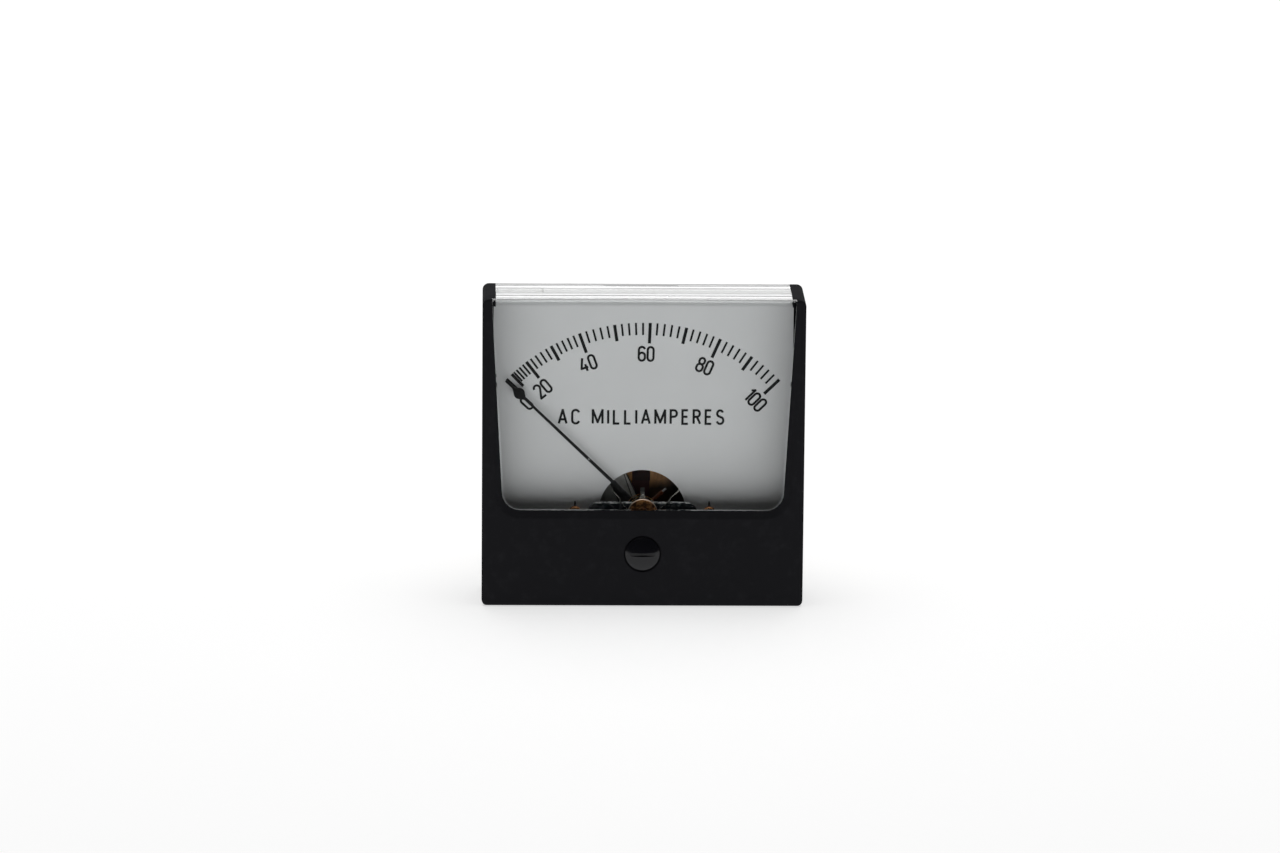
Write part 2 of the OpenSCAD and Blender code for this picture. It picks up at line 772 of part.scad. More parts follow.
module jewel_lock_nut() {
    color(bronze) at_pivot() difference() {
        union() {
            rod(0, 0, lock_nut_y, 0.25, lock_nut_r - 0.25, lock_nut_r);
            rod(0, 0, lock_nut_y + 0.25, lock_nut_t - 0.25, lock_nut_r);
        }
        rod(0, 0, lock_nut_y - 1, lock_nut_t + 2, jewel_screw_r + fit);
        for (s = [0, 1]) mirror([s, 0, 0]) translate([2.3, lock_nut_y - eps, -0.35]) cube([2, 0.5, 0.7]);
    }
}

// Two bent wires that stop the pointer just past each end of the scale
module stop_wires() {
    wire_r = 0.15;
    y0 = bridge_y - wire_r;
    y1 = bridge_y + 0.6;
    y2 = pointer_y + 0.8;
    left = [[-3.6, y0, 0.6], [-5.5, y0, bridge_rise + 0.1], [-5.7, y0 + 0.3, bridge_rise + 1.1],
        [-7.4, y1, 5.3], [-7.4, y2, 5.3]];
    right = [[4, y0, 0.7], [6.3, y0, bridge_rise + 0.1], [7.1, y0 + 0.3, bridge_rise + 1.4],
        [9, y1, 5.4], [9, y2, 5.4]];
    color(steel) at_pivot() {
        wire(left, wire_r);
        wire(right, wire_r);
    }
}

// ---- Zero lever and hairspring ----

// A ring on the jewel screw with a fork below it and a tab above it
module zero_lever() {
    slot_half = pin_r + fork_gap;
    color(aluminium) at_pivot() {
        plate(lever_y, lever_t) difference() {
            union() {
                circle(lever_ring_r);
                translate([-fork_half, fork_end]) square([2 * fork_half, -fork_end]);
                translate([-tab_half, 0]) square([2 * tab_half, tab_z + tab_t]);
            }
            circle(jewel_screw_r + lever_gap);
            translate([-slot_half, fork_end - 1]) square([2 * slot_half, fork_top - fork_end + 1]);
        }
        translate([-tab_half, lever_y, tab_z]) cube([2 * tab_half, tab_back_y - lever_y, tab_t]);
        translate([-tab_half, tab_back_y - tab_t, tab_z]) cube([2 * tab_half, tab_t, tab_end_z - tab_z]);
    }
}

// A flat spiral from the collet out to the lever's tab
module hairspring() {
    last = spring_turns * spring_steps;
    r0 = collet_r + spring_t / 2;
    path = [for (i = [0:last]) let (a = 360 * (i - last) / spring_steps, r = r0 + (spring_r - r0) * i / last)
        [r, a]];
    outline = concat([for (p = path) (p[0] + spring_t / 2) * [sin(p[1]), cos(p[1])]],
        [for (i = [last:-1:0]) (path[i][0] - spring_t / 2) * [sin(path[i][1]), cos(path[i][1])]]);
    color(bronze) at_pivot() plate(spring_y, spring_h) polygon(outline);
}

module hairspring_collet() {
    color(brass) at_pivot() ring(0, 0, spring_y, collet_h, shaft_r + fit, collet_r);
}

// ---- Pointer group, drawn upright and turned back to the rest angle ----

module at_rest() {
    at_pivot() rotate([0, -rest_angle, 0]) children();
}

module pointer() {
    spade_r = 1.4;
    spade_at = pointer_l - 4.7;
    cheek = 1.05;
    color(matt_black) at_rest() difference() {
        union() {
            plate(pointer_y, pointer_t) circle(1.5);
            plate(pointer_y, pointer_t)
                polygon([[-0.45, 0], [0.45, 0], [0.28, pointer_l], [-0.28, pointer_l]]);
            plate(pointer_y, pointer_t) translate([0, spade_at]) circle(spade_r);
            plate(pointer_y, pointer_t) polygon([[0, spade_at - 2.4], [cheek, spade_at - 0.9],
                [cheek, spade_at + 0.9], [0, spade_at + 2.6], [-cheek, spade_at + 0.9],
                [-cheek, spade_at - 0.9]]);
        }
        rod(0, 0, pointer_y - 1, pointer_t + 2, shaft_r + fit);
    }
}

module pointer_shaft() {
    color(steel) at_rest() {
        rod(0, 0, shaft_start, shaft_end - shaft_start, shaft_r);
        rod(0, 0, shaft_start - pivot_cone_l, pivot_cone_l + eps, pivot_tip_r, shaft_r);
        rod(0, 0, shaft_end - eps, pivot_cone_l + eps, shaft_r, pivot_tip_r);
    }
}

module balance_cross() {
    color(steel) at_rest() difference() {
        union() {
            rod(0, 0, cross_y, cross_t, 1.3);
            for (a = arm_angles) rotate([0, a, 0]) translate([0, arm_y, 0]) cylinder(h = arm_l, r = arm_r);
        }
        rod(0, 0, cross_y - 1, cross_t + 2, shaft_r + fit);
    }
}

module balance_weights() {
    color(copper) at_rest() for (a = arm_angles) rotate([0, a, 0]) translate([0, arm_y, arm_l - 4.4])
        difference() {
            cylinder(h = 3.4, r = 0.55);
            translate([0, 0, -1]) cylinder(h = 6, r = arm_r + fit);
        }
}

// A thin paddle in the damping chamber, with its hub on the shaft
module damping_vane() {
    vane_y = cover_plate_y + cover_plate_t + 0.4;
    vane_h = base_front_y - vane_y - 0.4;
    vane_t = 0.3;
    color(aluminium) at_rest() {
        ring(0, 0, vane_y, vane_h, shaft_r + fit, 1.2);
        rotate([0, vane_lag, 0]) translate([-vane_t / 2, vane_y, 1.1])
            cube([vane_t, vane_h, chamber_r - 0.6 - 1.1]);
    }
}

// A curved iron strip carried off the shaft by two thin spokes; its weight balances the pointer
module moving_vane() {
    r = bobbin_bore_r - 1.4;
    spoke_t = 0.4;
    color(steel) at_rest() {
        plate(iron_y, iron_l) ring_sector(r - iron_t, r, vane_centre - 25, vane_centre + 25);
        for (y = [iron_y, iron_y + iron_l - spoke_t]) {
            plate(y, spoke_t) difference() {
                union() {
                    circle(1.2);
                    ring_sector(0, r - 0.2, vane_centre - 5, vane_centre + 5);
                }
                circle(shaft_r + fit);
            }
        }
    }
}

// ---- Coil ----

module coil_bobbin() {
    tube_r = bobbin_bore_r + bobbin_wall;
    color(amber) at_pivot() translate([0, coil_y, 0]) rotate([-90, 0, 0]) rotate_extrude()
        polygon([[bobbin_bore_r, 0], [coil_r, 0], [coil_r, bobbin_wall], [tube_r, bobbin_wall],
            [tube_r, coil_l - bobbin_wall], [coil_r, coil_l - bobbin_wall], [coil_r, coil_l],
            [bobbin_bore_r, coil_l]]);
}

module coil_winding() {
    color(copper) at_pivot()
        ring(0, 0, coil_y + bobbin_wall + fit, coil_l - 2 * (bobbin_wall + fit),
            bobbin_bore_r + bobbin_wall + fit, coil_r - 0.4);
}

// A band of tape round one side of the coil, through its bore
module coil_strap() {
    t = 0.25;
    inner_z = sqrt(bobbin_bore_r * bobbin_bore_r - strap_w * strap_w / 4) - 0.05;
    color(maroon) at_pivot() difference() {
        translate([-strap_w / 2, coil_y - t, inner_z - t])
            cube([strap_w, coil_l + 2 * t, coil_r + 2 * t - inner_z]);
        translate([-strap_w, coil_y, inner_z]) cube([2 * strap_w, coil_l, coil_r + fit - inner_z]);
    }
}

module fixed_vane() {
    color(steel) at_pivot() plate(iron_y, iron_l)
        ring_sector(bobbin_bore_r - iron_t, bobbin_bore_r - fit, 130, 230);
}

module rear_posts() {
    color(brass) at_pivot() for (s = [-1, 1]) {
        difference() {
            rod(s * rear_post_x, 0, -flange_t, rear_bridge_y + flange_t, rear_post_r);
            rod(s * rear_post_x, 0, rear_bridge_y - 5, 6, rear_stub_r + fit);
        }
        rod(s * rear_post_x, 0, -flange_t - rear_stub_l, rear_stub_l + 0.1, rear_stub_r);
    }
}

module rear_bridge() {
    x = rear_post_x + 3.2;
    color(aluminium) at_pivot() difference() {
        plate(rear_bridge_y, bridge_t) round_rect(-x, x, -3.4, 3.4, 3);
        rod(0, 0, rear_bridge_y - 1, bridge_t + 2, jewel_screw_r + fit);
        for (s = [-1, 1]) rod(s * rear_post_x, 0, rear_bridge_y - 1, bridge_t + 2, rear_stub_r + 0.1);
    }
}

module rear_bridge_screws() {
    color(steel) at_pivot() for (s = [-1, 1])
        back_screw(s * rear_post_x, 0, rear_nut_y + rear_screw_head_t, rear_screw_head_r, rear_screw_head_t,
            rear_stub_r, rear_post_screw_l);
}

module rear_jewel_screw() {
    color(brass) at_pivot() translate([0, rear_screw_y + rear_screw_l, 0]) rotate([0, 0, 180])
        jewel_screw(rear_screw_l);
}

module rear_jewel() {
    color(ruby) at_pivot() translate([0, rear_jewel_y + jewel_t, 0]) rotate([0, 0, 180]) cup_jewel();
}

module rear_lock_nut() {
    color(brass) at_pivot() difference() {
        translate([0, rear_nut_y, 0]) rotate([-90, 0, 0]) cylinder(h = 1, r = 3.2, $fn = 6);
        rod(0, 0, rear_nut_y - 1, 3, jewel_screw_r + fit);
    }
}

// Two leads from the coil to eyelets clamped under the inner nuts
module coil_leads() {
    eye_r = terminal_r + 2.2;
    lead_y = lug_y - lead_r + 0.2;
    color(copper) for (s = [-1, 1]) {
        wire([[s * 6, coil_back_y + lead_r, pivot_z + 8.6], [s * 8.5, coil_back_y + 2, pivot_z + 9.4],
            [s * 13, lug_y - 1.6, -7.2], [s * terminal_x, lead_y, -eye_r - 1],
            [s * terminal_x, lead_y, -eye_r + 1]], lead_r);
        ring(s * terminal_x, 0, lug_y, lug_t, terminal_r + fit, eye_r);
    }
}

bezel();
window();
case();
dial_plate();
dial_screws();
adjuster_screw();
adjuster_clip();
movement_base();
base_screws();
damping_cover();
damping_cover_screws();
front_bridge();
bridge_posts();
bridge_screws();
front_jewel_screw();
front_jewel();
jewel_lock_nut();
stop_wires();
zero_lever();
hairspring();
hairspring_collet();
pointer();
pointer_shaft();
balance_cross();
balance_weights();
moving_vane();
damping_vane();
coil_bobbin();
coil_winding();
coil_strap();
fixed_vane();
rear_posts();
rear_bridge();
rear_bridge_screws();
rear_jewel_screw();
rear_jewel();
rear_lock_nut();
terminal_studs();
terminal_inner_nuts();
terminal_washers();
terminal_nuts();
mounting_studs();
cover_screws();
coil_leads();
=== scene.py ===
"""Looks of a rectangular panel meter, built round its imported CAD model.

Metres. X runs to the right of the dial, Y away from the reader and Z up."""

import json
import math

import bpy
import numpy as np
from mathutils import Matrix, Vector


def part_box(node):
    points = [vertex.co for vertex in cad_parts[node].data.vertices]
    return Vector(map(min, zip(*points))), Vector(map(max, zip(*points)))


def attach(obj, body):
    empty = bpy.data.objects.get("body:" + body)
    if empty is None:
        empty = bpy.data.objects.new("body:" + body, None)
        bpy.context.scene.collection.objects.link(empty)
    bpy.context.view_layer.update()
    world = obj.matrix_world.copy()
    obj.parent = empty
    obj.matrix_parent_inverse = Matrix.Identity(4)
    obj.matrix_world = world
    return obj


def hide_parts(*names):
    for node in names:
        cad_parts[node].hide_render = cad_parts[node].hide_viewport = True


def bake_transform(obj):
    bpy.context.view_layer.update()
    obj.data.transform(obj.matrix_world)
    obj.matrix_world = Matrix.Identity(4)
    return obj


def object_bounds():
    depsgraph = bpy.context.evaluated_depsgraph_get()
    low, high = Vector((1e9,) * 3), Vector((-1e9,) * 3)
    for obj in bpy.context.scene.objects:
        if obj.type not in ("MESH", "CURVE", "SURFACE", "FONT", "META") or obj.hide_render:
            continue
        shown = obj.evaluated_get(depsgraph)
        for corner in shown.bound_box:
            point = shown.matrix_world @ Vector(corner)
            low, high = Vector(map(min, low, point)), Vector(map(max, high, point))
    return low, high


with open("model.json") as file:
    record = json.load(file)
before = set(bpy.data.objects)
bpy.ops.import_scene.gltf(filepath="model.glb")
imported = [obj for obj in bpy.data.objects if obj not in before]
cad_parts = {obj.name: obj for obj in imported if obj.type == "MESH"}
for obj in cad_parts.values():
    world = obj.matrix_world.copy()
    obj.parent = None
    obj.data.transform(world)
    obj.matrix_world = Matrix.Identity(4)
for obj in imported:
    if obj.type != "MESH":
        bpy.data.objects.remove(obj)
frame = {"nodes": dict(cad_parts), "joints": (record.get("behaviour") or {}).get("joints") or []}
cad_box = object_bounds()

MM = 0.001
JOINTS = {joint["name"]: joint for joint in frame["joints"]}
PIVOT = Vector(JOINTS["pointer_swing"]["pos_m"])
# The pointer's angle at rest, clockwise from straight up
REST = math.radians(-46.2)
DIAL_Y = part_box("dial_plate")[0].y

# Paper tape on the dial's lip: its middle line and half width, a seam across it, a crack along it
TAPE_Y, TAPE_HALF = -5.8 * MM, 3.8 * MM
TAPE_SEAM_X, TAPE_CRACK_Y = -25.2 * MM, -3.0 * MM

# Lines on the damping cover through two (x, z) points: its crease and the two sides of a field of
# painted shadow
CREASE = ((-4.42 * MM, -7.82 * MM), (-2.85 * MM, -12.3 * MM))
SHADE_FIELD_RIGHT = ((-6.34 * MM, -9.4 * MM), (-3.56 * MM, -12.55 * MM))
SHADE_FIELD_LEFT = ((-7.67 * MM, -10.6 * MM), (-6.46 * MM, -13.04 * MM))

# Card before the coil: painted shade below one height and past one place, with a stripe over its
# middle
SHADE_BELOW_Z, SHADE_PAST_X = -8.6 * MM, 6.8 * MM
STRIPE_X, STRIPE_HALF = -0.25 * MM, 2.1 * MM


def polar(angle, radius, y):
    """A point round the pointer's axis, its angle clockwise from straight up."""
    return PIVOT + Vector((radius * math.sin(angle), y - PIVOT.y, radius * math.cos(angle)))


# ---- Materials ----

class Shading:
    """Adds nodes to a material's or a world's node tree."""

    def __init__(self, tree):
        self.nodes = tree.nodes
        self.links = tree.links

    def node(self, kind, inputs=None, **settings):
        made = self.nodes.new(kind)
        for key, value in settings.items():
            setattr(made, key, value)
        for key, value in (inputs or {}).items():
            if isinstance(value, bpy.types.NodeSocket):
                self.links.new(value, made.inputs[key])
            else:
                made.inputs[key].default_value = value
        return made

    def math(self, operation, first, second=0.5):
        return self.node("ShaderNodeMath", {0: first, 1: second}, operation=operation).outputs[0]

    def spread(self, value, low, high, to_low=0.0, to_high=1.0):
        """Maps low..high of a value onto to_low..to_high."""
        ends = {"From Min": low, "From Max": high, "To Min": to_low, "To Max": to_high}
        return self.node("ShaderNodeMapRange", {"Value": value, **ends}).outputs["Result"]

    def shown(self):
        """1 for what the camera sees, also in metal and glass, and 0 for light on matt faces."""
        path = self.node("ShaderNodeLightPath").outputs
        mirrored = self.math("MAXIMUM", path["Is Glossy Ray"], path["Is Transmission Ray"])
        seen = self.math("MAXIMUM", path["Is Camera Ray"], mirrored)
        direct = self.math("LESS_THAN", path["Diffuse Depth"], 0.5)
        return self.math("MULTIPLY", seen, direct)


class Surface(Shading):
    """One node material: a Principled shader and the procedural values that drive it."""

    def __init__(self, name, color, roughness, metallic=0.0, **sockets):
        self.material = bpy.data.materials.new(name)
        self.material.use_nodes = True
        super().__init__(self.material.node_tree)
        self.shader = self.nodes["Principled BSDF"]
        self.place = self.node("ShaderNodeTexCoord").outputs["Object"]
        self.normal = None
        self.color = (*color, 1.0)
        self.set("Base Color", self.color)
        self.set("Roughness", roughness)
        self.set("Metallic", metallic)
        for socket, value in sockets.items():
            self.set(socket.replace("_", " ").title().replace("Ior", "IOR"), value)

    def set(self, socket, value):
        self.shader.inputs[socket].default_value = value

    def drive(self, socket, value):
        self.links.new(value, self.shader.inputs[socket])

    def mapped(self, scale, shift):
        """The object's own place, scaled and moved along all three axes."""
        return self.node("ShaderNodeMapping", {"Vector": self.place, "Scale": scale,
                                               "Location": (shift, shift, shift)}).outputs[0]

    def noise(self, size, detail=3.0, roughness=0.55, stretch=(1, 1, 1), shift=0.0):
        """Noise whose features are about `size` metres across, stretched along the axes."""
        place = self.mapped([1 / (size * s) for s in stretch], shift)
        return self.node("ShaderNodeTexNoise", {"Vector": place, "Scale": 1.0, "Detail": detail,
                                                "Roughness": roughness}).outputs[0]

    def cells(self, size, shift):
        """Distance to the nearest of many scattered points, in shares of their spacing `size`."""
        place = self.mapped((1 / size,) * 3, shift)
        points = self.node("ShaderNodeTexVoronoi", {"Vector": place, "Scale": 1.0})
        return points.outputs["Distance"]

    def axis(self, name):
        return self.node("ShaderNodeSeparateXYZ", {"Vector": self.place}).outputs[name]

    def vector_math(self, operation, first, second=(0, 0, 0)):
        return self.node("ShaderNodeVectorMath", {0: first, 1: second}, operation=operation).outputs

    def radius(self, centre):
        """Distance from an axis along Y through `centre`."""
        moved = self.vector_math("SUBTRACT", self.place, centre)[0]
        flat = self.vector_math("MULTIPLY", moved, (1, 0, 1))[0]
        return self.vector_math("LENGTH", flat)["Value"]

    def beside(self, first, second):
        """Distance from the line through two (x, z) points, positive on its right hand."""
        along = (Vector(second) - Vector(first)).normalized()
        across = Vector((along.y, -along.x))
        place = self.vector_math("DOT_PRODUCT", self.place, (across.x, 0, across.y))["Value"]
        return self.math("SUBTRACT", place, across.dot(Vector(first)))

    def tint(self, other, factor):
        """Blends the base colour, with all that was done to it so far, towards another."""
        base = self.shader.inputs["Base Color"]
        mix = self.node("ShaderNodeMix", {"Factor": factor}, data_type="RGBA")
        first, second = (socket for socket in mix.inputs if socket.type == "RGBA")
        if base.links:
            self.links.new(base.links[0].from_socket, first)
        else:
            first.default_value = self.color
        second.default_value = (*other, 1.0)
        result = next(socket for socket in mix.outputs if socket.type == "RGBA")
        self.links.new(result, base)

    def stain(self, other, amount, start, full, size, detail, **noise):
        """Tints in patches, where a noise runs from `start` to `full`."""
        self.tint(other, self.spread(self.noise(size, detail, **noise), start, full, 0, amount))

    def specks(self, other, amount, rim, core, spacing, shift):
        """Tints in small round specks, `rim` and `core` being shares of their spacing."""
        near = self.spread(self.cells(spacing, shift), rim, core)
        self.tint(other, self.math("MULTIPLY", near, amount))

    def uneven(self, low, high, size, detail, shift=0.0):
        """Lets the roughness wander between two values."""
        patches = self.noise(size, detail, shift=shift)
        self.drive("Roughness", self.spread(patches, 0.3, 0.7, low, high))

    def bump(self, height, depth):
        """Adds relief of `depth` metres on top of what is there."""
        inputs = {"Height": height, "Distance": depth, "Strength": 1.0}
        if self.normal is not None:
            inputs["Normal"] = self.normal
        self.normal = self.node("ShaderNodeBump", inputs).outputs["Normal"]
        self.links.new(self.normal, self.shader.inputs["Normal"])

    def waves(self, value, pitch):
        """A sine along a value."""
        return self.math("SINE", self.math("MULTIPLY", value, 2 * math.pi / pitch))


def moulded(name, color, roughness, grain, depth, specular=0.5, dust=0.02, soft_edge=0.0):
    """Moulded plastic: fine grain, slightly uneven gloss, softened edges and a trace of dust."""
    s = Surface(name, color, roughness, specular_ior_level=specular)
    if soft_edge:
        s.normal = s.node("ShaderNodeBevel", {"Radius": soft_edge}, samples=6).outputs["Normal"]
    s.bump(s.noise(grain, 4.0), depth)
    s.bump(s.noise(9 * MM, 2.0), 12e-6)
    s.uneven(roughness - 0.05, roughness + 0.07, 5 * MM, 5.0)
    s.stain([c * 1.5 + 0.002 for c in color], 0.5, 0.52, 0.8, 2.5 * MM, 6.0, shift=4)
    s.specks((0.25, 0.24, 0.22), dust, 0.045, 0.02, 1.9 * MM, shift=3)
    return s.material


def metal(name, color, roughness, tarnish, amount=0.5, lines=None, size=1.2 * MM):
    """Turned, drawn or plated metal: tarnish in patches, fine tool lines and uneven gloss."""
    s = Surface(name, color, roughness, 1.0)
    s.stain(tarnish, amount, 0.42, 0.68, size, 6.0, roughness=0.6)
    s.uneven(roughness - 0.08, roughness + 0.14, 0.5 * MM, 4.0, shift=2)
    if lines:
        s.bump(s.noise(0.08 * MM, 2.0, stretch=lines), 2.5e-6)
    s.bump(s.noise(0.25 * MM, 3.0, shift=7), 3e-6)
    return s.material


def turned_metal(name, color, roughness, tarnish, centre, rim, amount=0.5):
    """A turned face: fine rings round an axis along Y, tarnish in patches and a bright rim."""
    s = Surface(name, color, roughness, 1.0)
    ring = s.radius(centre)
    s.stain(tarnish, amount, 0.42, 0.56, 1.3 * MM, 6.0, roughness=0.7)
    s.tint((0.62, 0.5, 0.4), s.spread(ring, rim - 0.22 * MM, rim - 0.1 * MM, 0, 0.9))
    s.bump(s.waves(ring, 0.09 * MM), 2e-6)
    s.bump(s.noise(0.3 * MM, 4.0, shift=3), 4e-6)
    s.uneven(roughness - 0.06, roughness + 0.16, 0.4 * MM, 5.0, shift=9)
    return s.material


def clear_plastic(name):
    """Polished clear plastic, slightly wavy, that lets lamplight through to what lies behind."""
    s = Surface(name, (0.985, 0.99, 0.99), 0.012, transmission_weight=1.0, ior=1.49)
    s.bump(s.noise(14 * MM, 2.0), 10e-6)
    s.drive("Roughness", s.spread(s.noise(11 * MM, 3.0, shift=2), 0.35, 0.7, 0.004, 0.016))
    path = s.node("ShaderNodeLightPath").outputs
    light = s.math("MAXIMUM", path["Is Shadow Ray"], path["Is Diffuse Ray"])
    through = s.node("ShaderNodeBsdfTransparent", {"Color": (0.93, 0.94, 0.94, 1)})
    mix = s.node("ShaderNodeMixShader", {0: light, 1: s.shader.outputs[0], 2: through.outputs[0]})
    s.links.new(mix.outputs[0], s.nodes["Material Output"].inputs["Surface"])
    return s.material


def dial_enamel(name):
    """Satin off-white enamel with a few dust specks."""
    s = Surface(name, (0.8, 0.802, 0.806), 0.36, specular_ior_level=0.4)
    s.bump(s.noise(0.35 * MM, 4.0), 1.6e-6)
    s.bump(s.noise(6 * MM, 2.0, stretch=(1, 1, 3)), 6e-6)
    s.uneven(0.3, 0.42, 3 * MM, 5.0, shift=5)
    s.stain((0.74, 0.742, 0.746), 0.5, 0.35, 0.75, 12 * MM, 4.0, shift=1)
    s.specks((0.3, 0.3, 0.3), 0.5, 0.022, 0.012, 4.5 * MM, shift=2)
    return s.material


def ink(name):
    s = Surface(name, (0.012, 0.012, 0.013), 0.5, specular_ior_level=0.3)
    s.bump(s.noise(0.06 * MM, 3.0), 1.5e-6)
    s.stain((0.03, 0.03, 0.032), 0.6, 0.5, 0.75, 0.4 * MM, 4.0)
    return s.material


def lacquer(name, chip, size):
    """Matt black lacquer on sheet metal, chipped to bright metal at one place."""
    s = Surface(name, (0.012, 0.012, 0.013), 0.42, specular_ior_level=0.35)
    s.bump(s.noise(0.1 * MM, 3.0), 2e-6)
    s.stain((0.03, 0.03, 0.03), 0.6, 0.45, 0.7, 1.5 * MM, 5.0)
    away = s.vector_math("DISTANCE", s.place, chip)["Value"]
    s.tint((0.8, 0.8, 0.78), s.spread(away, size, 0.6 * size))
    return s.material


def varnish(name, color, dark, fibres):
    """Varnished wrap: brown fibres under a glossy coat that pooled unevenly."""
    s = Surface(name, color, 0.4, coat_weight=0.6, coat_roughness=0.18)
    s.stain(dark, 0.85, 0.4, 0.66, 0.9 * MM, 6.0, roughness=0.65)
    s.stain([c * 0.5 for c in color], 0.7, 0.5, 0.7, 0.16 * MM, 3.0, stretch=fibres)
    s.bump(s.noise(0.16 * MM, 3.0, stretch=fibres), 12e-6)
    s.bump(s.noise(1.4 * MM, 3.0), 40e-6)
    return s.material


def woven_tape(name):
    """Cloth tape soaked in dark varnish."""
    s = Surface(name, (0.055, 0.012, 0.006), 0.5, coat_weight=0.3, coat_roughness=0.3)
    pitch = 0.22 * MM
    across, along = s.waves(s.axis("X"), pitch), s.waves(s.axis("Z"), pitch)
    s.bump(s.math("MULTIPLY", across, along), 18e-6)
    s.stain((0.02, 0.006, 0.004), 0.8, 0.4, 0.65, 0.8 * MM, 5.0)
    return s.material


def worn_lacquer(name, color, top):
    """Dark slate lacquer with a painted highlight in broken stretches along its top edge."""
    s = Surface(name, color, 0.26)
    s.bump(s.noise(0.3 * MM, 4.0), 4e-6)
    s.stain([c * 0.6 for c in color], 1.0, 0.4, 0.7, 2 * MM, 5.0)
    s.uneven(0.2, 0.34, 1.5 * MM, 4.0, shift=3)
    # Painted highlight: a light tint in broken stretches just under the top edge, where the top
    # face catches light
    edge = s.spread(s.axis("Z"), top - 0.24 * MM, top - 0.14 * MM)
    broken = s.spread(s.noise(1.6 * MM, 6.0, 0.7, stretch=(1.5, 1, 1)), 0.46, 0.56)
    s.tint((0.72, 0.73, 0.72), s.math("MULTIPLY", edge, broken))
    return s.material


def creased_sheet(name):
    """Thin grey sheet with a crease: painted shade along the crease and a painted lit facet beside
    it, a field of painted shadow left of it and duller painted shade beyond.
    """
    s = Surface(name, (0.6, 0.6, 0.575), 0.42, 1.0)
    s.bump(s.noise(0.1 * MM, 2.0, stretch=(1, 1, 20)), 2.5e-6)
    s.stain((0.4, 0.4, 0.38), 0.6, 0.42, 0.7, 1.2 * MM, 6.0, roughness=0.6)
    crease = s.beside(*CREASE)
    # Painted shade along the crease, and a painted lit facet on one side of it
    s.tint((0.12, 0.12, 0.11), s.spread(s.math("ABSOLUTE", crease), 0.16 * MM, 0.06 * MM))
    s.tint((0.72, 0.72, 0.69), s.spread(crease, -0.1 * MM, -0.3 * MM, 0, 0.4))
    # Painted shadow of the pointer and of a facet turned away, in the field between two lines, and
    # duller painted shade beyond that field
    soft = 0.15 * MM
    left_of_right = s.spread(s.beside(*SHADE_FIELD_RIGHT), 0.0, soft)
    right_of_left = s.spread(s.beside(*SHADE_FIELD_LEFT), soft, 0.0)
    s.tint((0.33, 0.33, 0.32), s.spread(right_of_left, 1.0, 0.0))
    s.tint((0.07, 0.07, 0.07), s.math("MULTIPLY", left_of_right, right_of_left))
    s.bump(s.spread(crease, -1.0 * MM, 1.0 * MM), 60e-6)
    s.uneven(0.34, 0.54, 0.5 * MM, 4.0, shift=2)
    return s.material


def burnt_card(name):
    """Varnished card: amber, with a maroon stripe, and painted shade below and at its right."""
    s = Surface(name, (0.62, 0.29, 0.07), 0.4, coat_weight=0.5, coat_roughness=0.2)
    x, z = s.axis("X"), s.axis("Z")
    grain = (1, 1, 4)
    s.stain((0.4, 0.16, 0.035), 0.8, 0.4, 0.7, 0.5 * MM, 5.0, roughness=0.65, stretch=grain)
    # Painted shade, mottled at its edge: dark below one height and past one place at the right
    mottle = s.math("MULTIPLY", s.noise(2.2 * MM, 5.0), 2.4 * MM)
    below = s.spread(s.math("ADD", z, mottle), SHADE_BELOW_Z, SHADE_BELOW_Z - 2.0 * MM, 0, 0.95)
    s.tint((0.05, 0.028, 0.014), below)
    past = s.spread(s.math("ADD", x, mottle), SHADE_PAST_X, SHADE_PAST_X + 2.4 * MM, 0, 0.95)
    s.tint((0.03, 0.02, 0.012), past)
    stripe = s.math("ABSOLUTE", s.math("SUBTRACT", x, STRIPE_X))
    s.tint((0.075, 0.02, 0.018), s.spread(stripe, STRIPE_HALF + 0.15 * MM, STRIPE_HALF))
    s.bump(s.noise(0.4 * MM, 4.0, stretch=grain), 15e-6)
    return s.material


def lever_metal(name):
    """Dull sheet metal, light at its foot and darker towards its tip."""
    s = Surface(name, (0.46, 0.46, 0.44), 0.4, 1.0)
    s.tint((0.14, 0.14, 0.135), s.spread(s.axis("Z"), -11.7 * MM, -10.6 * MM, 0, 0.95))
    s.stain((0.25, 0.24, 0.22), 0.7, 0.42, 0.65, 0.5 * MM, 6.0, roughness=0.6)
    s.bump(s.noise(0.1 * MM, 3.0), 3e-6)
    s.uneven(0.3, 0.5, 0.4 * MM, 4.0, shift=5)
    return s.material


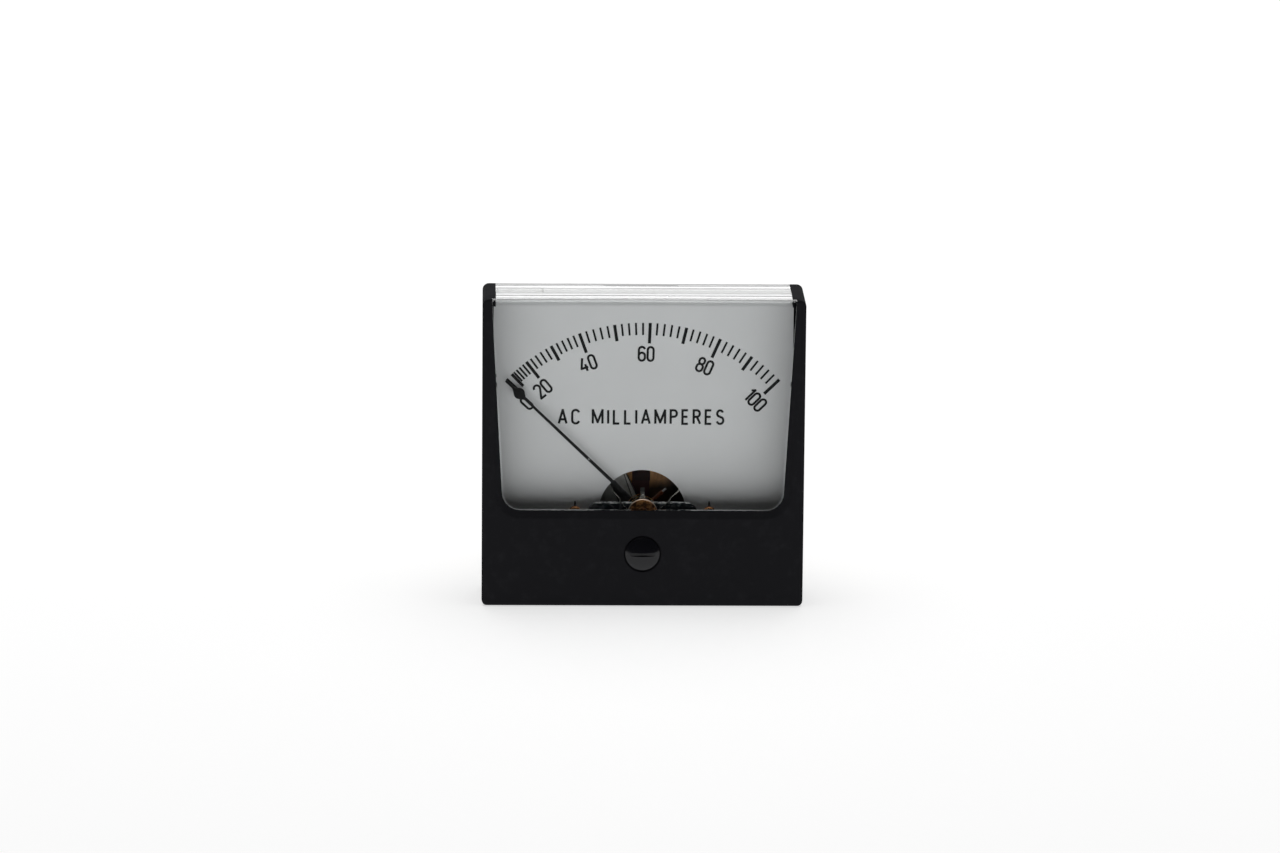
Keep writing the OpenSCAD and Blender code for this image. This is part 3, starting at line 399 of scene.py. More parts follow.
def paper_tape(name):
    """Old paper tape: off-white, brown along its ragged edges, greyed left of a dark seam."""
    s = Surface(name, (0.92, 0.915, 0.9), 0.6, specular_ior_level=0.3)
    x, y = s.axis("X"), s.axis("Y")
    ragged = s.math("MULTIPLY", s.noise(3 * MM, 5.0, stretch=(2, 1, 1)), 1.6 * MM)
    from_middle = s.math("ADD", s.math("ABSOLUTE", s.math("SUBTRACT", y, TAPE_Y)), ragged)
    edge = s.spread(from_middle, TAPE_HALF + 0.1 * MM, TAPE_HALF + 1.0 * MM)
    s.tint((0.16, 0.12, 0.09), s.math("MULTIPLY", edge, 0.8))
    seam = s.math("ABSOLUTE", s.math("SUBTRACT", x, TAPE_SEAM_X))
    s.tint((0.02, 0.015, 0.012), s.spread(seam, 0.45 * MM, 0.2 * MM))
    left = s.spread(x, TAPE_SEAM_X + 0.1 * MM, TAPE_SEAM_X - 0.1 * MM)
    grey = s.spread(s.noise(2.2 * MM, 5.0, shift=6), 0.4, 0.6)
    s.tint((0.5, 0.49, 0.46), s.math("MULTIPLY", left, grey))
    s.stain((0.42, 0.38, 0.34), 0.6, 0.56, 0.75, 6 * MM, 6.0, roughness=0.7, stretch=(3, 1, 1))
    wandering = s.math("ADD", y, s.math("MULTIPLY", ragged, 0.5))
    crack = s.math("ABSOLUTE", s.math("SUBTRACT", wandering, TAPE_CRACK_Y))
    s.tint((0.06, 0.045, 0.035), s.spread(crack, 0.6 * MM, 0.2 * MM, 0, 0.95))
    s.bump(s.noise(0.25 * MM, 4.0), 8e-6)
    return s.material


def ruby(name):
    s = Surface(name, (0.5, 0.02, 0.06), 0.08, transmission_weight=0.6, ior=1.76)
    s.stain((0.3, 0.01, 0.03), 0.5, 0.4, 0.7, 0.3 * MM, 3.0)
    s.bump(s.noise(0.4 * MM, 2.0), 1e-6)
    return s.material


def wound_copper(name, pitch):
    """Enamelled wire laid in even turns along Y."""
    s = Surface(name, (0.17, 0.055, 0.02), 0.32, 0.85, coat_weight=0.5, coat_roughness=0.15)
    s.bump(s.waves(s.axis("Y"), pitch), 0.2 * pitch)
    s.stain((0.12, 0.03, 0.012), 0.8, 0.42, 0.7, 0.8 * MM, 5.0)
    return s.material


# The pointer's chipped spot, on its front just over the shank
CHIP = polar(REST, 18.6 * MM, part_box("pointer")[0].y) + Vector((0, 0, 0.05 * MM))
NUT_R = 3.75 * MM
# Tool lines are long along Y on what is drawn, and along Z on rolled sheet
DRAWN, ROLLED = (1, 30, 1), (1, 1, 14)

MATERIALS = {
    "bezel": moulded("matt_bezel", (0.0118, 0.0118, 0.0134), 0.66, 0.16 * MM, 6e-6, 0.012,
                     soft_edge=0.45 * MM),
    "case": moulded("phenolic_case", (0.010, 0.0098, 0.0098), 0.3, 0.3 * MM, 3e-6, 0.3),
    "base": moulded("phenolic_base", (0.014, 0.0135, 0.013), 0.36, 0.22 * MM, 6e-6, 0.45),
    "knob": moulded("glossy_knob", (0.0045, 0.0045, 0.006), 0.17, 0.5 * MM, 0.6e-6, 0.34, 0.01),
    "slate": worn_lacquer("slate_bridge", (0.022, 0.029, 0.034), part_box("front_bridge")[1].z),
    "window": clear_plastic("clear_window"),
    "dial": dial_enamel("dial_enamel"),
    "ink": ink("dial_ink"),
    "pointer": lacquer("black_lacquer", CHIP, 0.2 * MM),
    "bronze": metal("tarnished_bronze", (0.24, 0.115, 0.05), 0.36, (0.06, 0.025, 0.012), 0.8,
                    size=0.8 * MM),
    "nut": turned_metal("turned_bronze", (0.3, 0.145, 0.055), 0.34, (0.05, 0.02, 0.01), PIVOT,
                        NUT_R, 0.9),
    "solder": metal("old_solder", (0.85, 0.84, 0.8), 0.25, (0.45, 0.42, 0.36), 0.6, size=0.3 * MM),
    "tape_paper": paper_tape("lip_paper"),
    "wire": metal("dark_wire", (0.42, 0.41, 0.37), 0.2, (0.03, 0.028, 0.026), 0.95, size=1.1 * MM),
    "brass": metal("drawn_brass", (0.62, 0.44, 0.19), 0.3, (0.3, 0.18, 0.07), 0.75, DRAWN),
    "steel": metal("plated_steel", (0.6, 0.6, 0.6), 0.3, (0.42, 0.41, 0.38), 0.5, DRAWN),
    "iron": metal("soft_iron", (0.3, 0.3, 0.3), 0.45, (0.16, 0.13, 0.11), 0.5, (1, 20, 1)),
    "creased": creased_sheet("creased_sheet"),
    "card": burnt_card("burnt_card"),
    "lever": lever_metal("lever_metal"),
    "aluminium": metal("satin_aluminium", (0.45, 0.455, 0.44), 0.42, (0.28, 0.28, 0.26), 0.6,
                       ROLLED),
    "spring": metal("phosphor_bronze", (0.7, 0.44, 0.2), 0.26, (0.4, 0.22, 0.1), 0.4),
    "amber": varnish("amber_varnish", (0.36, 0.13, 0.02), (0.05, 0.016, 0.005), (1, 1, 9)),
    "tape": woven_tape("maroon_tape"),
    "copper": wound_copper("wound_copper", 0.2 * MM),
    "tinned": metal("tinned_copper", (0.62, 0.45, 0.32), 0.34, (0.35, 0.2, 0.12), 0.6),
    "ruby": ruby("ruby_jewel"),
}

NODE_MATERIALS = {
    "bezel": "bezel", "window": "window", "case": "case", "dial_plate": "dial",
    "dial_screws": "bronze", "adjuster_screw": "knob", "adjuster_clip": "steel",
    "movement_base": "base", "base_screws": "steel", "damping_cover": "creased",
    "damping_cover_screws": "steel", "front_bridge": "slate", "bridge_posts": "brass",
    "bridge_screws": "steel", "front_jewel_screw": "bronze", "front_jewel": "ruby",
    "jewel_lock_nut": "nut", "stop_wires": "wire", "zero_lever": "lever", "hairspring": "spring",
    "hairspring_collet": "brass", "pointer": "pointer", "pointer_shaft": "steel",
    "balance_cross": "steel", "balance_weights": "copper", "moving_vane": "iron",
    "damping_vane": "aluminium", "coil_bobbin": "amber", "coil_winding": "copper",
    "coil_strap": "tape", "fixed_vane": "iron", "rear_posts": "brass", "rear_bridge": "aluminium",
    "rear_bridge_screws": "steel", "rear_jewel_screw": "brass", "rear_jewel": "ruby",
    "rear_lock_nut": "brass", "terminal_studs": "brass", "terminal_inner_nuts": "brass",
    "terminal_washers": "brass", "terminal_nuts": "brass", "mounting_studs": "steel",
    "cover_screws": "steel", "coil_leads": "tinned",
}


def dress(obj, material):
    obj.data.materials.clear()
    obj.data.materials.append(MATERIALS[material])
    return obj


for node_name, node in frame["nodes"].items():
    dress(node, NODE_MATERIALS[node_name])


# ---- Meshes ----

# Corners flatter than this are shaded as round where a mesh is smooth
ROUND_BELOW = math.radians(35)


def add_object(name, mesh, material):
    obj = bpy.data.objects.new(name, mesh)
    bpy.context.scene.collection.objects.link(obj)
    return dress(obj, material)


def add_mesh(name, vertices, faces, material, smooth=False):
    mesh = bpy.data.meshes.new(name)
    mesh.from_pydata([tuple(v) for v in vertices], [], faces)
    mesh.validate()
    mesh.update()
    if smooth:
        mesh.shade_smooth()
        mesh.set_sharp_from_angle(angle=ROUND_BELOW)
    return add_object(name, mesh, material)


def skin(rings, closed=False):
    """Vertices and faces of a body through rings of equal length, capped unless it is closed."""
    count, total = len(rings[0]), len(rings)
    vertices = [vertex for ring in rings for vertex in ring]
    faces = []
    for i in range(total if closed else total - 1):
        here, there = count * i, count * ((i + 1) % total)
        for k in range(count):
            after = (k + 1) % count
            faces.append((here + k, here + after, there + after, there + k))
    if not closed:
        last = count * (total - 1)
        faces += [tuple(range(count - 1, -1, -1)), tuple(range(last, last + count))]
    return vertices, faces


def join_parts(parts):
    vertices, faces = [], []
    for part_vertices, part_faces in parts:
        base = len(vertices)
        vertices += part_vertices
        faces += [tuple(base + i for i in face) for face in part_faces]
    return vertices, faces


def circle(centre, radius, first, second, count):
    """Points of a circle in the plane of two directions."""
    angles = [2 * math.pi * k / count for k in range(count)]
    return [centre + radius * (math.cos(a) * first + math.sin(a) * second) for a in angles]


def half_width(node_name):
    low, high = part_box(node_name)
    return (high.x - low.x) / 2


# ---- Dial print: ticks, numbers and the unit, as thin fields of ink ----

INK = 0.02 * MM
# Strokes stand in turn at a few heights, so that no two faces lie in one plane where they cross
LAYER, LAYERS = 0.003 * MM, 4
# Path points nearer than this are one point
SAME_POINT = 1e-7
# A corner is split where the cosine of its turn is under SHARP; both ends then reach past it
SHARP = -0.1
LAP = 0.35
# Smallest cosine that a mitre is drawn out by
MITRE = 0.5

SCALE_CENTRE = Vector((0, PIVOT.z))
SCALE_R = 47.4 * MM
# Angles of 0, 10, 20 ... 100 and of the numbers, in degrees clockwise from straight up
TEN_ANGLES = [-46, -43.8, -38, -29.1, -19.7, -8.8, 2, 13.1, 23.9, 34.9, 45.8]
LABELS = {0: -47.3, 20: -39.4, 40: -20.5, 60: 1.0, 80: 22.8, 100: 45.3}
# Length and width of a tick, by the first of these steps that it stands at
TICKS = {20: (5.2 * MM, 0.78 * MM), 10: (4.2 * MM, 0.78 * MM), 2: (3.1 * MM, 0.5 * MM)}
LABEL_R = 39.5 * MM
DIGIT_H = 3.5 * MM
DIGIT_STROKE = 0.56 * MM
DIGIT_GAP = 0.19
LEGEND = "AC MILLIAMPERES"
LEGEND_LEFT, LEGEND_RIGHT, LEGEND_Z = -21.0 * MM, 20.1 * MM, 7.6 * MM
LEGEND_H = 3.45 * MM
LEGEND_STROKE = 0.57 * MM
WORD_GAP = 0.58


def scale_angle(value):
    """Angle of a scale value, smooth through the angles of the tens."""
    step = min(int(value // 10), 9)
    before, start, end, after = (TEN_ANGLES[max(0, min(10, step + k))] for k in (-1, 0, 1, 2))
    t = value / 10 - step
    slope_in = (end - before) / 2 if step else end - start
    slope_out = (after - start) / 2 if step < 9 else end - start
    return ((2 * t**3 - 3 * t**2 + 1) * start + (t**3 - 2 * t**2 + t) * slope_in
            + (3 * t**2 - 2 * t**3) * end + (t**3 - t**2) * slope_out)


def arc(cx, cz, rx, rz, start, end, steps=10):
    """Points of an arc, its angles in degrees anticlockwise from +X."""
    angles = [math.radians(start + (end - start) * k / steps) for k in range(steps + 1)]
    return [(cx + rx * math.cos(a), cz + rz * math.sin(a)) for a in angles]


def loop(x0, x1, z0, z1):
    """A closed stadium between two corners."""
    r = (x1 - x0) / 2
    cx = x0 + r
    return arc(cx, z1 - r, r, r, 0, 180) + arc(cx, z0 + r, r, r, 180, 360)


# The stem and bowl that P and R share
BOWL = [(0, 0), (0, 1), (0.24, 1), *arc(0.24, 0.76, 0.2, 0.24, 90, -90), (0, 0.52)]
# Each glyph: width, then strokes as (points, closed), in units of the glyph's height
GLYPHS = {
    "0": (0.42, [(loop(0, 0.42, 0, 1), True)]),
    "1": (0.2, [([(0, 0.8), (0.2, 1), (0.2, 0)], False)]),
    "2": (0.44, [([*arc(0.22, 0.77, 0.22, 0.23, 170, -32), (0, 0), (0.44, 0)], False)]),
    "4": (0.5, [([(0.3, 1), (0, 0.27), (0.5, 0.27)], False), ([(0.36, 0.52), (0.36, 0)], False)]),
    "6": (0.44, [(loop(0, 0.44, 0, 0.58), True),
                 ([*arc(0.22, 0.78, 0.22, 0.22, 15, 180), (0, 0.3)], False)]),
    "8": (0.44, [(loop(0, 0.44, 0, 0.54), True), (loop(0.03, 0.41, 0.54, 1), True)]),
    "A": (0.56, [([(0, 0), (0.28, 1), (0.56, 0)], False), ([(0.09, 0.3), (0.47, 0.3)], False)]),
    "C": (0.5, [(arc(0.25, 0.75, 0.25, 0.25, 15, 180)
                 + arc(0.25, 0.25, 0.25, 0.25, 180, 345), False)]),
    "E": (0.4, [([(0.4, 1), (0, 1), (0, 0), (0.4, 0)], False), ([(0, 0.52), (0.36, 0.52)], False)]),
    "I": (0.0, [([(0, 1), (0, 0)], False)]),
    "L": (0.4, [([(0, 1), (0, 0), (0.4, 0)], False)]),
    "M": (0.7, [([(0, 0), (0, 1), (0.35, 0.1), (0.7, 1), (0.7, 0)], False)]),
    "P": (0.44, [(BOWL, False)]),
    "R": (0.46, [(BOWL, False), ([(0.24, 0.52), (0.46, 0)], False)]),
    "S": (0.46, [(arc(0.23, 0.76, 0.21, 0.24, 20, 225, 14)
                  + arc(0.23, 0.26, 0.23, 0.26, 48, -165, 14), False)]),
}


class Print:
    """Collects strokes of ink on the dial, given by their X and Z."""

    def __init__(self):
        self.parts = []

    def stroke(self, points, width, closed=False):
        """A band of even width along points, mitred at its corners and split at its sharp ones."""
        path = [Vector(p) for p in points]
        path = [p for i, p in enumerate(path) if i == 0 or (p - path[i - 1]).length > SAME_POINT]
        if closed and (path[0] - path[-1]).length < SAME_POINT:
            path.pop()
        if not closed:
            for i in range(1, len(path) - 1):
                inward = (path[i] - path[i - 1]).normalized()
                outward = (path[i + 1] - path[i]).normalized()
                if inward.dot(outward) < SHARP:
                    self.stroke([*path[:i], path[i] + LAP * width * inward], width)
                    self.stroke([path[i] - LAP * width * outward, *path[i + 1:]], width)
                    return
        face_y = DIAL_Y - INK - (len(self.parts) + 1) % LAYERS * LAYER
        rings = []
        for i, p in enumerate(path):
            inward = p - path[i - 1] if i or closed else path[1] - p
            outward = path[(i + 1) % len(path)] - p if i < len(path) - 1 or closed else inward
            inward, outward = inward.normalized(), outward.normalized()
            along = (inward + outward).normalized()
            side = Vector((-along.y, along.x)) * (width / 2 / max(MITRE, along.dot(inward)))
            left, right = p + side, p - side
            rings.append([(right.x, DIAL_Y, right.y), (left.x, DIAL_Y, left.y),
                          (left.x, face_y, left.y), (right.x, face_y, right.y)])
        self.parts.append(skin(rings, closed))

    def write(self, text, height, width, foot, right, gap):
        """Letters side by side along `right`, from `foot`, with gaps in units of their height."""
        up = Vector((-right.y, right.x))
        x = 0.0
        for letter in text:
            if letter == " ":
                x += WORD_GAP
                continue
            letter_width, strokes = GLYPHS[letter]
            for points, closed in strokes:
                self.stroke([foot + height * ((x + px) * right + pz * up) for px, pz in points],
                            width, closed)
            x += letter_width + gap


def letter_widths(text):
    """The summed widths of a text's letters, in units of their height."""
    return sum(GLYPHS[letter][0] for letter in text if letter != " ")


def print_tick(sheet, angle, length, width):
    way = Vector((math.sin(angle), math.cos(angle)))
    sheet.stroke([SCALE_CENTRE + SCALE_R * way, SCALE_CENTRE + (SCALE_R - length) * way], width)


def print_number(sheet, text, angle):
    """A number turned to stand on its radius."""
    total = letter_widths(text) + DIGIT_GAP * (len(text) - 1)
    right = Vector((math.cos(angle), -math.sin(angle)))
    up = Vector((math.sin(angle), math.cos(angle)))
    foot = SCALE_CENTRE + LABEL_R * up - DIGIT_H / 2 * (total * right + up)
    sheet.write(text, DIGIT_H, DIGIT_STROKE, foot, right, DIGIT_GAP)


def print_legend(sheet):
    """The unit, spaced evenly between its two ends."""
    blanks = LEGEND.count(" ")
    room = (LEGEND_RIGHT - LEGEND_LEFT) / LEGEND_H - letter_widths(LEGEND) - blanks * WORD_GAP
    foot = Vector((LEGEND_LEFT, LEGEND_Z - LEGEND_H / 2))
    gap = room / (len(LEGEND) - 1 - blanks)
    sheet.write(LEGEND, LEGEND_H, LEGEND_STROKE, foot, Vector((1, 0)), gap)


def make_dial_print():
    sheet = Print()
    for value in (0, *range(10, 101, 2)):
        length, width = next(size for step, size in TICKS.items() if value % step == 0)
        print_tick(sheet, math.radians(scale_angle(value)), length, width)
    for value, angle in LABELS.items():
        print_number(sheet, str(value), math.radians(angle))
    print_legend(sheet)
    obj = add_mesh("dial_print", *join_parts(sheet.parts), "ink")
    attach(obj, "housing")


make_dial_print()


# ---- Paper tape on the dial's folded lip ----

def make_lip_tape():
    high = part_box("dial_plate")[1]
    half = high.x - 0.3 * MM
    gap, thickness = 0.002 * MM, 0.038 * MM
    columns = 40
    rings = []
    for i in range(columns + 1):
        x = -half + 2 * half * i / columns
        wave = 0.12 * MM * math.sin(i * 1.7) + 0.06 * MM * math.sin(i * 4.1)
        front, back = TAPE_Y - TAPE_HALF + wave, TAPE_Y + TAPE_HALF - wave
        below, above = high.z + gap, high.z + gap + thickness
        rings.append([(x, front, above), (x, front, below), (x, back, below), (x, back, above)])
    obj = add_mesh("lip_tape", *skin(rings), "tape_paper")
    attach(obj, "housing")


make_lip_tape()


# ---- Coil face: a washer of varnished card, slightly wavy ----

def make_coil_face():
    hole_r, outer_r = 2.0 * MM, half_width("coil_bobbin") - 0.2 * MM
    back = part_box("coil_bobbin")[0].y - 0.02 * MM
    front = back - 0.13 * MM
    around = 96
    rings = []
    for k in range(around):
        a = 2 * math.pi * k / around
        wave = 0.03 * MM * math.sin(5 * a) + 0.01 * MM * math.sin(17 * a)
        rim, face = outer_r + wave, front + wave
        rings.append([polar(a, hole_r, back), polar(a, rim, back), polar(a, rim, face),
                      polar(a, hole_r + wave, face)])
    obj = add_mesh("coil_face", *skin(rings, closed=True), "card")
    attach(obj, "housing")


make_coil_face()


# ---- Zero lever: its tab drawn in to its tip, with the spring's end soldered on ----

# The tab starts at a height, lies within a half width and is narrowed to a share of its width
TAB_FROM, TAB_HALF, TAB_SHARE = -12.9 * MM, 1.2 * MM, 0.68
# The soldered wire's points and its radius at each, in millimetres
SOLDER = [((-0.78, -17.62, -11.95), 0.16), ((-0.5, -17.66, -11.5), 0.11),
          ((-0.15, -17.6, -10.95), 0.15), ((0.08, -17.62, -10.98), 0.16),
          ((0.3, -17.66, -11.5), 0.1), ((0.62, -17.6, -11.98), 0.15)]


def tube(points, radii, sides=10):
    """A round wire through points, with its own radius at each."""
    rings = []
    for i, (point, radius) in enumerate(zip(points, radii)):
        way = (points[min(i + 1, len(points) - 1)] - points[max(i - 1, 0)]).normalized()
        side = way.cross(Vector((0, 1, 0))).normalized()
        rings.append(circle(point, radius, side, way.cross(side), sides))
    return skin(rings)


def make_lever():
    mesh = frame["nodes"]["zero_lever"].data.copy()
    for vertex in mesh.vertices:
        if vertex.co.z > TAB_FROM and abs(vertex.co.x) < TAB_HALF:
            vertex.co.x *= TAB_SHARE
    mesh.update()
    lever = add_object("drawn_lever", mesh, "lever")
    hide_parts("zero_lever")
    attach(lever, "zero_lever")
    points, radii = [Vector(p) * MM for p, r in SOLDER], [r * MM for p, r in SOLDER]
    solder = add_mesh("spring_solder", *tube(points, radii), "solder", smooth=True)
    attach(solder, "zero_lever")


make_lever()


# ---- Window: bevelled pane and top wall in one, the wall thin in front and thick over the lip ----

# The pane's sides lean in by this much per metre downwards
PANE_LEAN = 0.0541
PANE_CORNER = 4.65 * MM
PANE_T = 2.0 * MM
BEVEL = 0.35 * MM
# What is left of the bevel at the top of the pane's sides
BEVEL_LEFT = 0.15
WALL_HALF = 36.8 * MM
WALL_THIN, WALL_THICK, WALL_STEP_Y = 0.4 * MM, 1.95 * MM, -12.6 * MM
# Fine grooves across the wall, steep in front and shallow behind
GROOVES_Y = (-18.6 * MM, -15.4 * MM, -4.6 * MM)
GROOVE_STEEP, GROOVE_DEEP, GROOVE_W = 0.1 * MM, 0.26 * MM, 0.6 * MM


def pane_outline(low, high, inset):
    """The pane's X and Z: a trapezium with round lower corners, inset less towards its top."""
    stretch = math.sqrt(1 + PANE_LEAN**2)
    cz = low.z + PANE_CORNER
    cx = high.x - PANE_LEAN * (high.z - cz) - PANE_CORNER * stretch
    r = PANE_CORNER - inset
    top = high.z - inset
    foot = Vector((cx, cz)) + r / stretch * Vector((1, -PANE_LEAN))
    top_x = foot.x + PANE_LEAN * (top - foot.y) + (1 - BEVEL_LEFT) * inset * stretch
    lean = math.degrees(math.atan(PANE_LEAN))
    right = [(top_x, top), *arc(cx, cz, r, r, -lean, -90, 12)]
    return right + [(-x, z) for x, z in reversed(right)]


def wall_section(low, high):
    """The top wall cut along Y and Z, its front end inside the pane."""
    start = low.y + PANE_T - 0.5 * MM
    grooves = []
    for y in GROOVES_Y:
        grooves += [(y, high.z), (y + GROOVE_STEEP, high.z - GROOVE_DEEP), (y + GROOVE_W, high.z)]
    thin, thick = high.z - WALL_THIN, high.z - WALL_THICK
    return [(start, high.z), *grooves, (high.y, high.z), (high.y, thick), (WALL_STEP_Y, thick),
            (WALL_STEP_Y, thin), (start, thin)]


def make_window():
    low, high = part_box("window")
    rings = [[(x, y, z) for x, z in pane_outline(low, high, inset)]
             for y, inset in ((low.y, BEVEL), (low.y + BEVEL, 0.0), (low.y + PANE_T, 0.0))]
    front = add_mesh("clear_pane", *skin(rings), "window")
    ends = [[(x, y, z) for y, z in wall_section(low, high)] for x in (-WALL_HALF, WALL_HALF)]
    wall = add_mesh("clear_wall", *skin(ends), "window")
    union = front.modifiers.new("wall", "BOOLEAN")
    union.operation = "UNION"
    union.solver = "EXACT"
    union.object = wall
    united = front.evaluated_get(bpy.context.evaluated_depsgraph_get())
    mesh = bpy.data.meshes.new_from_object(united)
    front.modifiers.clear()
    front.data = mesh
    bpy.data.objects.remove(wall)
    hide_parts("window")
    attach(front, "housing")


make_window()


# ---- Threads ----

def threaded_rod(x, z, plain, start, end, radius, pitch, depth, chamfer):
    """A round bar along Y: plain (y, radius) rings first, then a thread up to its chamfered end."""
    around, per_turn = 32, 10
    # The crest runs from 0 to 1 up the flanks, between a flat root and a flat top
    flank, root = 2.6, 0.8
    count = int((end - start) / pitch * per_turn)
    rings = [[(y, r)] * around for y, r in plain]
    for i in range(count + 1):
        y = start + (end - start) * i / count
        ring = []
        for k in range(around):
            phase = ((y - start) / pitch - k / around) % 1
            crest = min(1, max(0, flank * abs(2 * phase - 1) - root))
            ring.append((y, min(radius - depth * (1 - crest), radius - chamfer + max(0, end - y))))
        rings.append(ring)
    angles = [2 * math.pi * k / around for k in range(around)]
    return skin([[(x + r * math.sin(a), y, z + r * math.cos(a)) for a, (y, r) in zip(angles, ring)]
                 for ring in rings])


def make_mounting_studs():
    low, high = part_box("mounting_studs")
    stud_r = 2.08 * MM
    shank_r = stud_r + 0.5 * MM
    head_r = shank_r + 0.9 * MM
    head_end = low.y + 1.8 * MM
    plain = [(low.y, head_r), (head_end, head_r), (head_end, shank_r), (0.0, shank_r),
             (0.0, stud_r)]
    parts = [threaded_rod(x, z, plain, start=0.3 * MM, end=high.y, radius=stud_r, pitch=0.794 * MM,
                          depth=0.42 * MM, chamfer=0.5 * MM)
             for x in (low.x + head_r, high.x - head_r) for z in (low.z + head_r, high.z - head_r)]
    obj = add_mesh("stud_threads", *join_parts(parts), "steel", smooth=True)
    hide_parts("mounting_studs")
    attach(obj, "housing")


def make_terminal_studs():
    low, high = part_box("terminal_studs")
    radius = (high.z - low.z) / 2
    nuts_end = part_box("terminal_nuts")[1].y
    plain = [(low.y, radius), (nuts_end - 1 * MM, radius)]
    parts = [threaded_rod(x, 0.0, plain, start=nuts_end - 0.9 * MM, end=high.y, radius=radius,
                          pitch=0.907 * MM, depth=0.5 * MM, chamfer=0.6 * MM)
             for x in (low.x + radius, high.x - radius)]
    obj = add_mesh("terminal_threads", *join_parts(parts), "brass", smooth=True)
    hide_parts("terminal_studs")
    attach(obj, "housing")


make_mounting_studs()
make_terminal_studs()


# ---- Hairspring: winds between the zero lever and the pointer's shaft ----

def make_hairspring():
    low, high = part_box("hairspring")
    thickness = 0.12 * MM
    inner_r = half_width("hairspring_collet") + thickness / 2
    outer_r = high.z - PIVOT.z - thickness / 2
    turns, per_turn = 5, 48
    steps = turns * per_turn
    rings, weights = [], []
    for i in range(steps + 1):
        t = i / steps
        a = 2 * math.pi * turns * (t - 1)
        r = inner_r + (outer_r - inner_r) * t
        inside, outside = r - thickness / 2, r + thickness / 2
        rings.append([polar(a, inside, low.y), polar(a, inside, high.y),
                      polar(a, outside, high.y), polar(a, outside, low.y)])
        weights += [1 - t] * 4
    obj = add_mesh("wound_hairspring", *skin(rings), "spring", smooth=True)
    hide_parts("hairspring")
    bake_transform(obj)


make_hairspring()


# ---- Balance weights: fine wire wound on the three arms ----

# The arms' angles clockwise from the pointer, and where their wire starts and how long it is wound
ARMS = (94, 184, 274)
WOUND_FROM, WOUND_L, WOUND_R = 3.6 * MM, 3.4 * MM, 0.41 * MM
WIRE_R, WIRE_TURNS = 0.14 * MM, 12


def coil_of_wire(base, along, length, radius, wire_r, turns):
    """A close helix of round wire along an arm."""
    side = along.orthogonal().normalized()
    other = along.cross(side)
    per_turn, sides = 16, 6
    steps = turns * per_turn
    rings = []
    for i in range(steps + 1):
        a = 2 * math.pi * i / per_turn
        out = math.cos(a) * side + math.sin(a) * other
        centre = base + ((length - 2 * wire_r) * i / steps + wire_r) * along + radius * out
        rings.append(circle(centre, wire_r, out, along, sides))
    return skin(rings)


def make_balance_weights():
    low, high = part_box("balance_weights")
    hub = Vector((PIVOT.x, (low.y + high.y) / 2, PIVOT.z))
    parts = []
    for arm in ARMS:
        way = polar(REST + math.radians(arm), 1.0, PIVOT.y) - PIVOT
        parts.append(coil_of_wire(hub + WOUND_FROM * way, way, WOUND_L, WOUND_R, WIRE_R,
                                  WIRE_TURNS))
    obj = add_mesh("wound_weights", *join_parts(parts), "copper", smooth=True)
    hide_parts("balance_weights")
    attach(obj, "pointer_group")


make_balance_weights()


# ---- Studio ----

def add_sheet(name, corners, surface):
    """A flat sheet of the studio, not part of the meter."""
    mesh = bpy.data.meshes.new(name)
    mesh.from_pydata(corners, [], [(0, 1, 2, 3)])
    mesh.materials.append(surface.material)
    obj = bpy.data.objects.new(name, mesh)
    bpy.context.scene.collection.objects.link(obj)
    return obj


def make_floor(glow, shown_glow):
    """A pale table that lights the meter by `glow` and itself shows `shown_glow`."""
    s = Surface("pale_floor", (0.8, 0.8, 0.8), 0.9, specular_ior_level=0.0,
                emission_color=(1, 1, 1, 1))
    s.drive("Emission Strength", s.spread(s.shown(), 0.0, 1.0, glow, shown_glow))
    half, z = 4.0, cad_box[0][2] - 0.1 * MM
    add_sheet("floor", [(-half, -half, z), (half, -half, z), (half, half, z), (-half, half, z)], s)


def make_world(level):
    """Even light at `level`, shown as plain white to the camera, in gloss and through glass."""
    world = bpy.data.worlds.new("studio")
    bpy.context.scene.world = world
    world.use_nodes = True
    s = Shading(world.node_tree)
    background = s.nodes["Background"]
    background.inputs["Color"].default_value = (1, 1, 1, 1)
    s.links.new(s.spread(s.shown(), 0.0, 1.0, level, 1.0), background.inputs["Strength"])


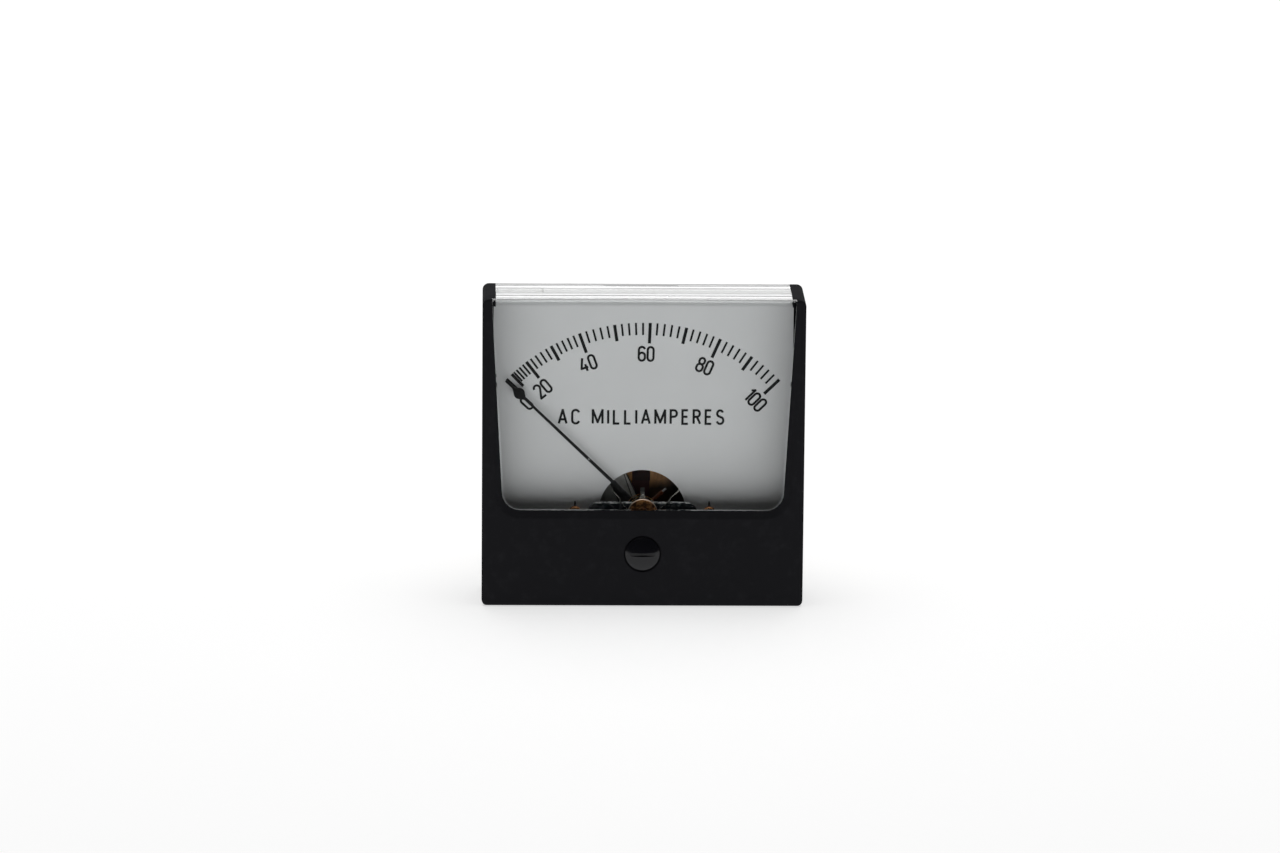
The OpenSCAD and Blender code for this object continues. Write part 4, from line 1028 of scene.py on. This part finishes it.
def make_dark_curtain():
    """A dark curtain before the meter, so that glossy faces don't mirror a white room."""
    s = Surface("dark_curtain", (0.004, 0.004, 0.004), 1.0, specular_ior_level=0.0)
    half, near, far = 3.0, -0.085, -1.085
    low, high = cad_box[0][2], 3.0
    curtain = add_sheet("dark_curtain", [(-half, near, low), (half, near, low), (half, far, high),
                                         (-half, far, high)], s)
    curtain.visible_camera = False
    curtain.visible_diffuse = False
    curtain.visible_shadow = False


def add_softbox(name, place, aim, size, power):
    """A rectangular lamp aimed at a point."""
    light = bpy.data.lights.new(name, "AREA")
    light.shape = "RECTANGLE"
    light.size, light.size_y = size
    light.energy = power
    lamp = bpy.data.objects.new(name, light)
    place, aim = Vector(place), Vector(aim)
    turn = (aim - place).to_track_quat("-Z", "Y").to_matrix().to_4x4()
    lamp.matrix_world = Matrix.Translation(place) @ turn
    bpy.context.scene.collection.objects.link(lamp)


def make_camera(aim, distance, azimuth, elevation, roll, lens):
    """A camera `distance` from its aim, its angles in degrees."""
    azimuth, elevation, roll = map(math.radians, (azimuth, elevation, roll))
    right = Vector((math.cos(azimuth), math.sin(azimuth), 0))
    level = Vector((math.sin(azimuth), -math.cos(azimuth), 0))
    back = math.cos(elevation) * level + math.sin(elevation) * Vector((0, 0, 1))
    up = back.cross(right)
    across = math.cos(roll) * right + math.sin(roll) * up
    upright = math.cos(roll) * up - math.sin(roll) * right
    camera_data = bpy.data.cameras.new("camera")
    camera_data.lens = lens
    camera_data.sensor_width = 36.0
    camera = bpy.data.objects.new("camera", camera_data)
    turn = Matrix((across, upright, back)).transposed().to_4x4()
    camera.matrix_world = Matrix.Translation(aim + distance * back) @ turn
    bpy.context.scene.collection.objects.link(camera)
    bpy.context.scene.camera = camera


make_floor(glow=1.08, shown_glow=0.6)
make_world(level=0.05)
make_dark_curtain()
add_softbox("overhead", place=(0, 0.75, 1.4), aim=(0, 0.74, 0), size=(1.5, 2.4), power=18.0)
make_camera(aim=Vector((-0.64, -10.5, 4.66)) * MM, distance=1.6815, azimuth=-1.38, elevation=12.53,
            roll=0.495, lens=189.0)

bpy.context.scene.view_settings.view_transform = "Standard"
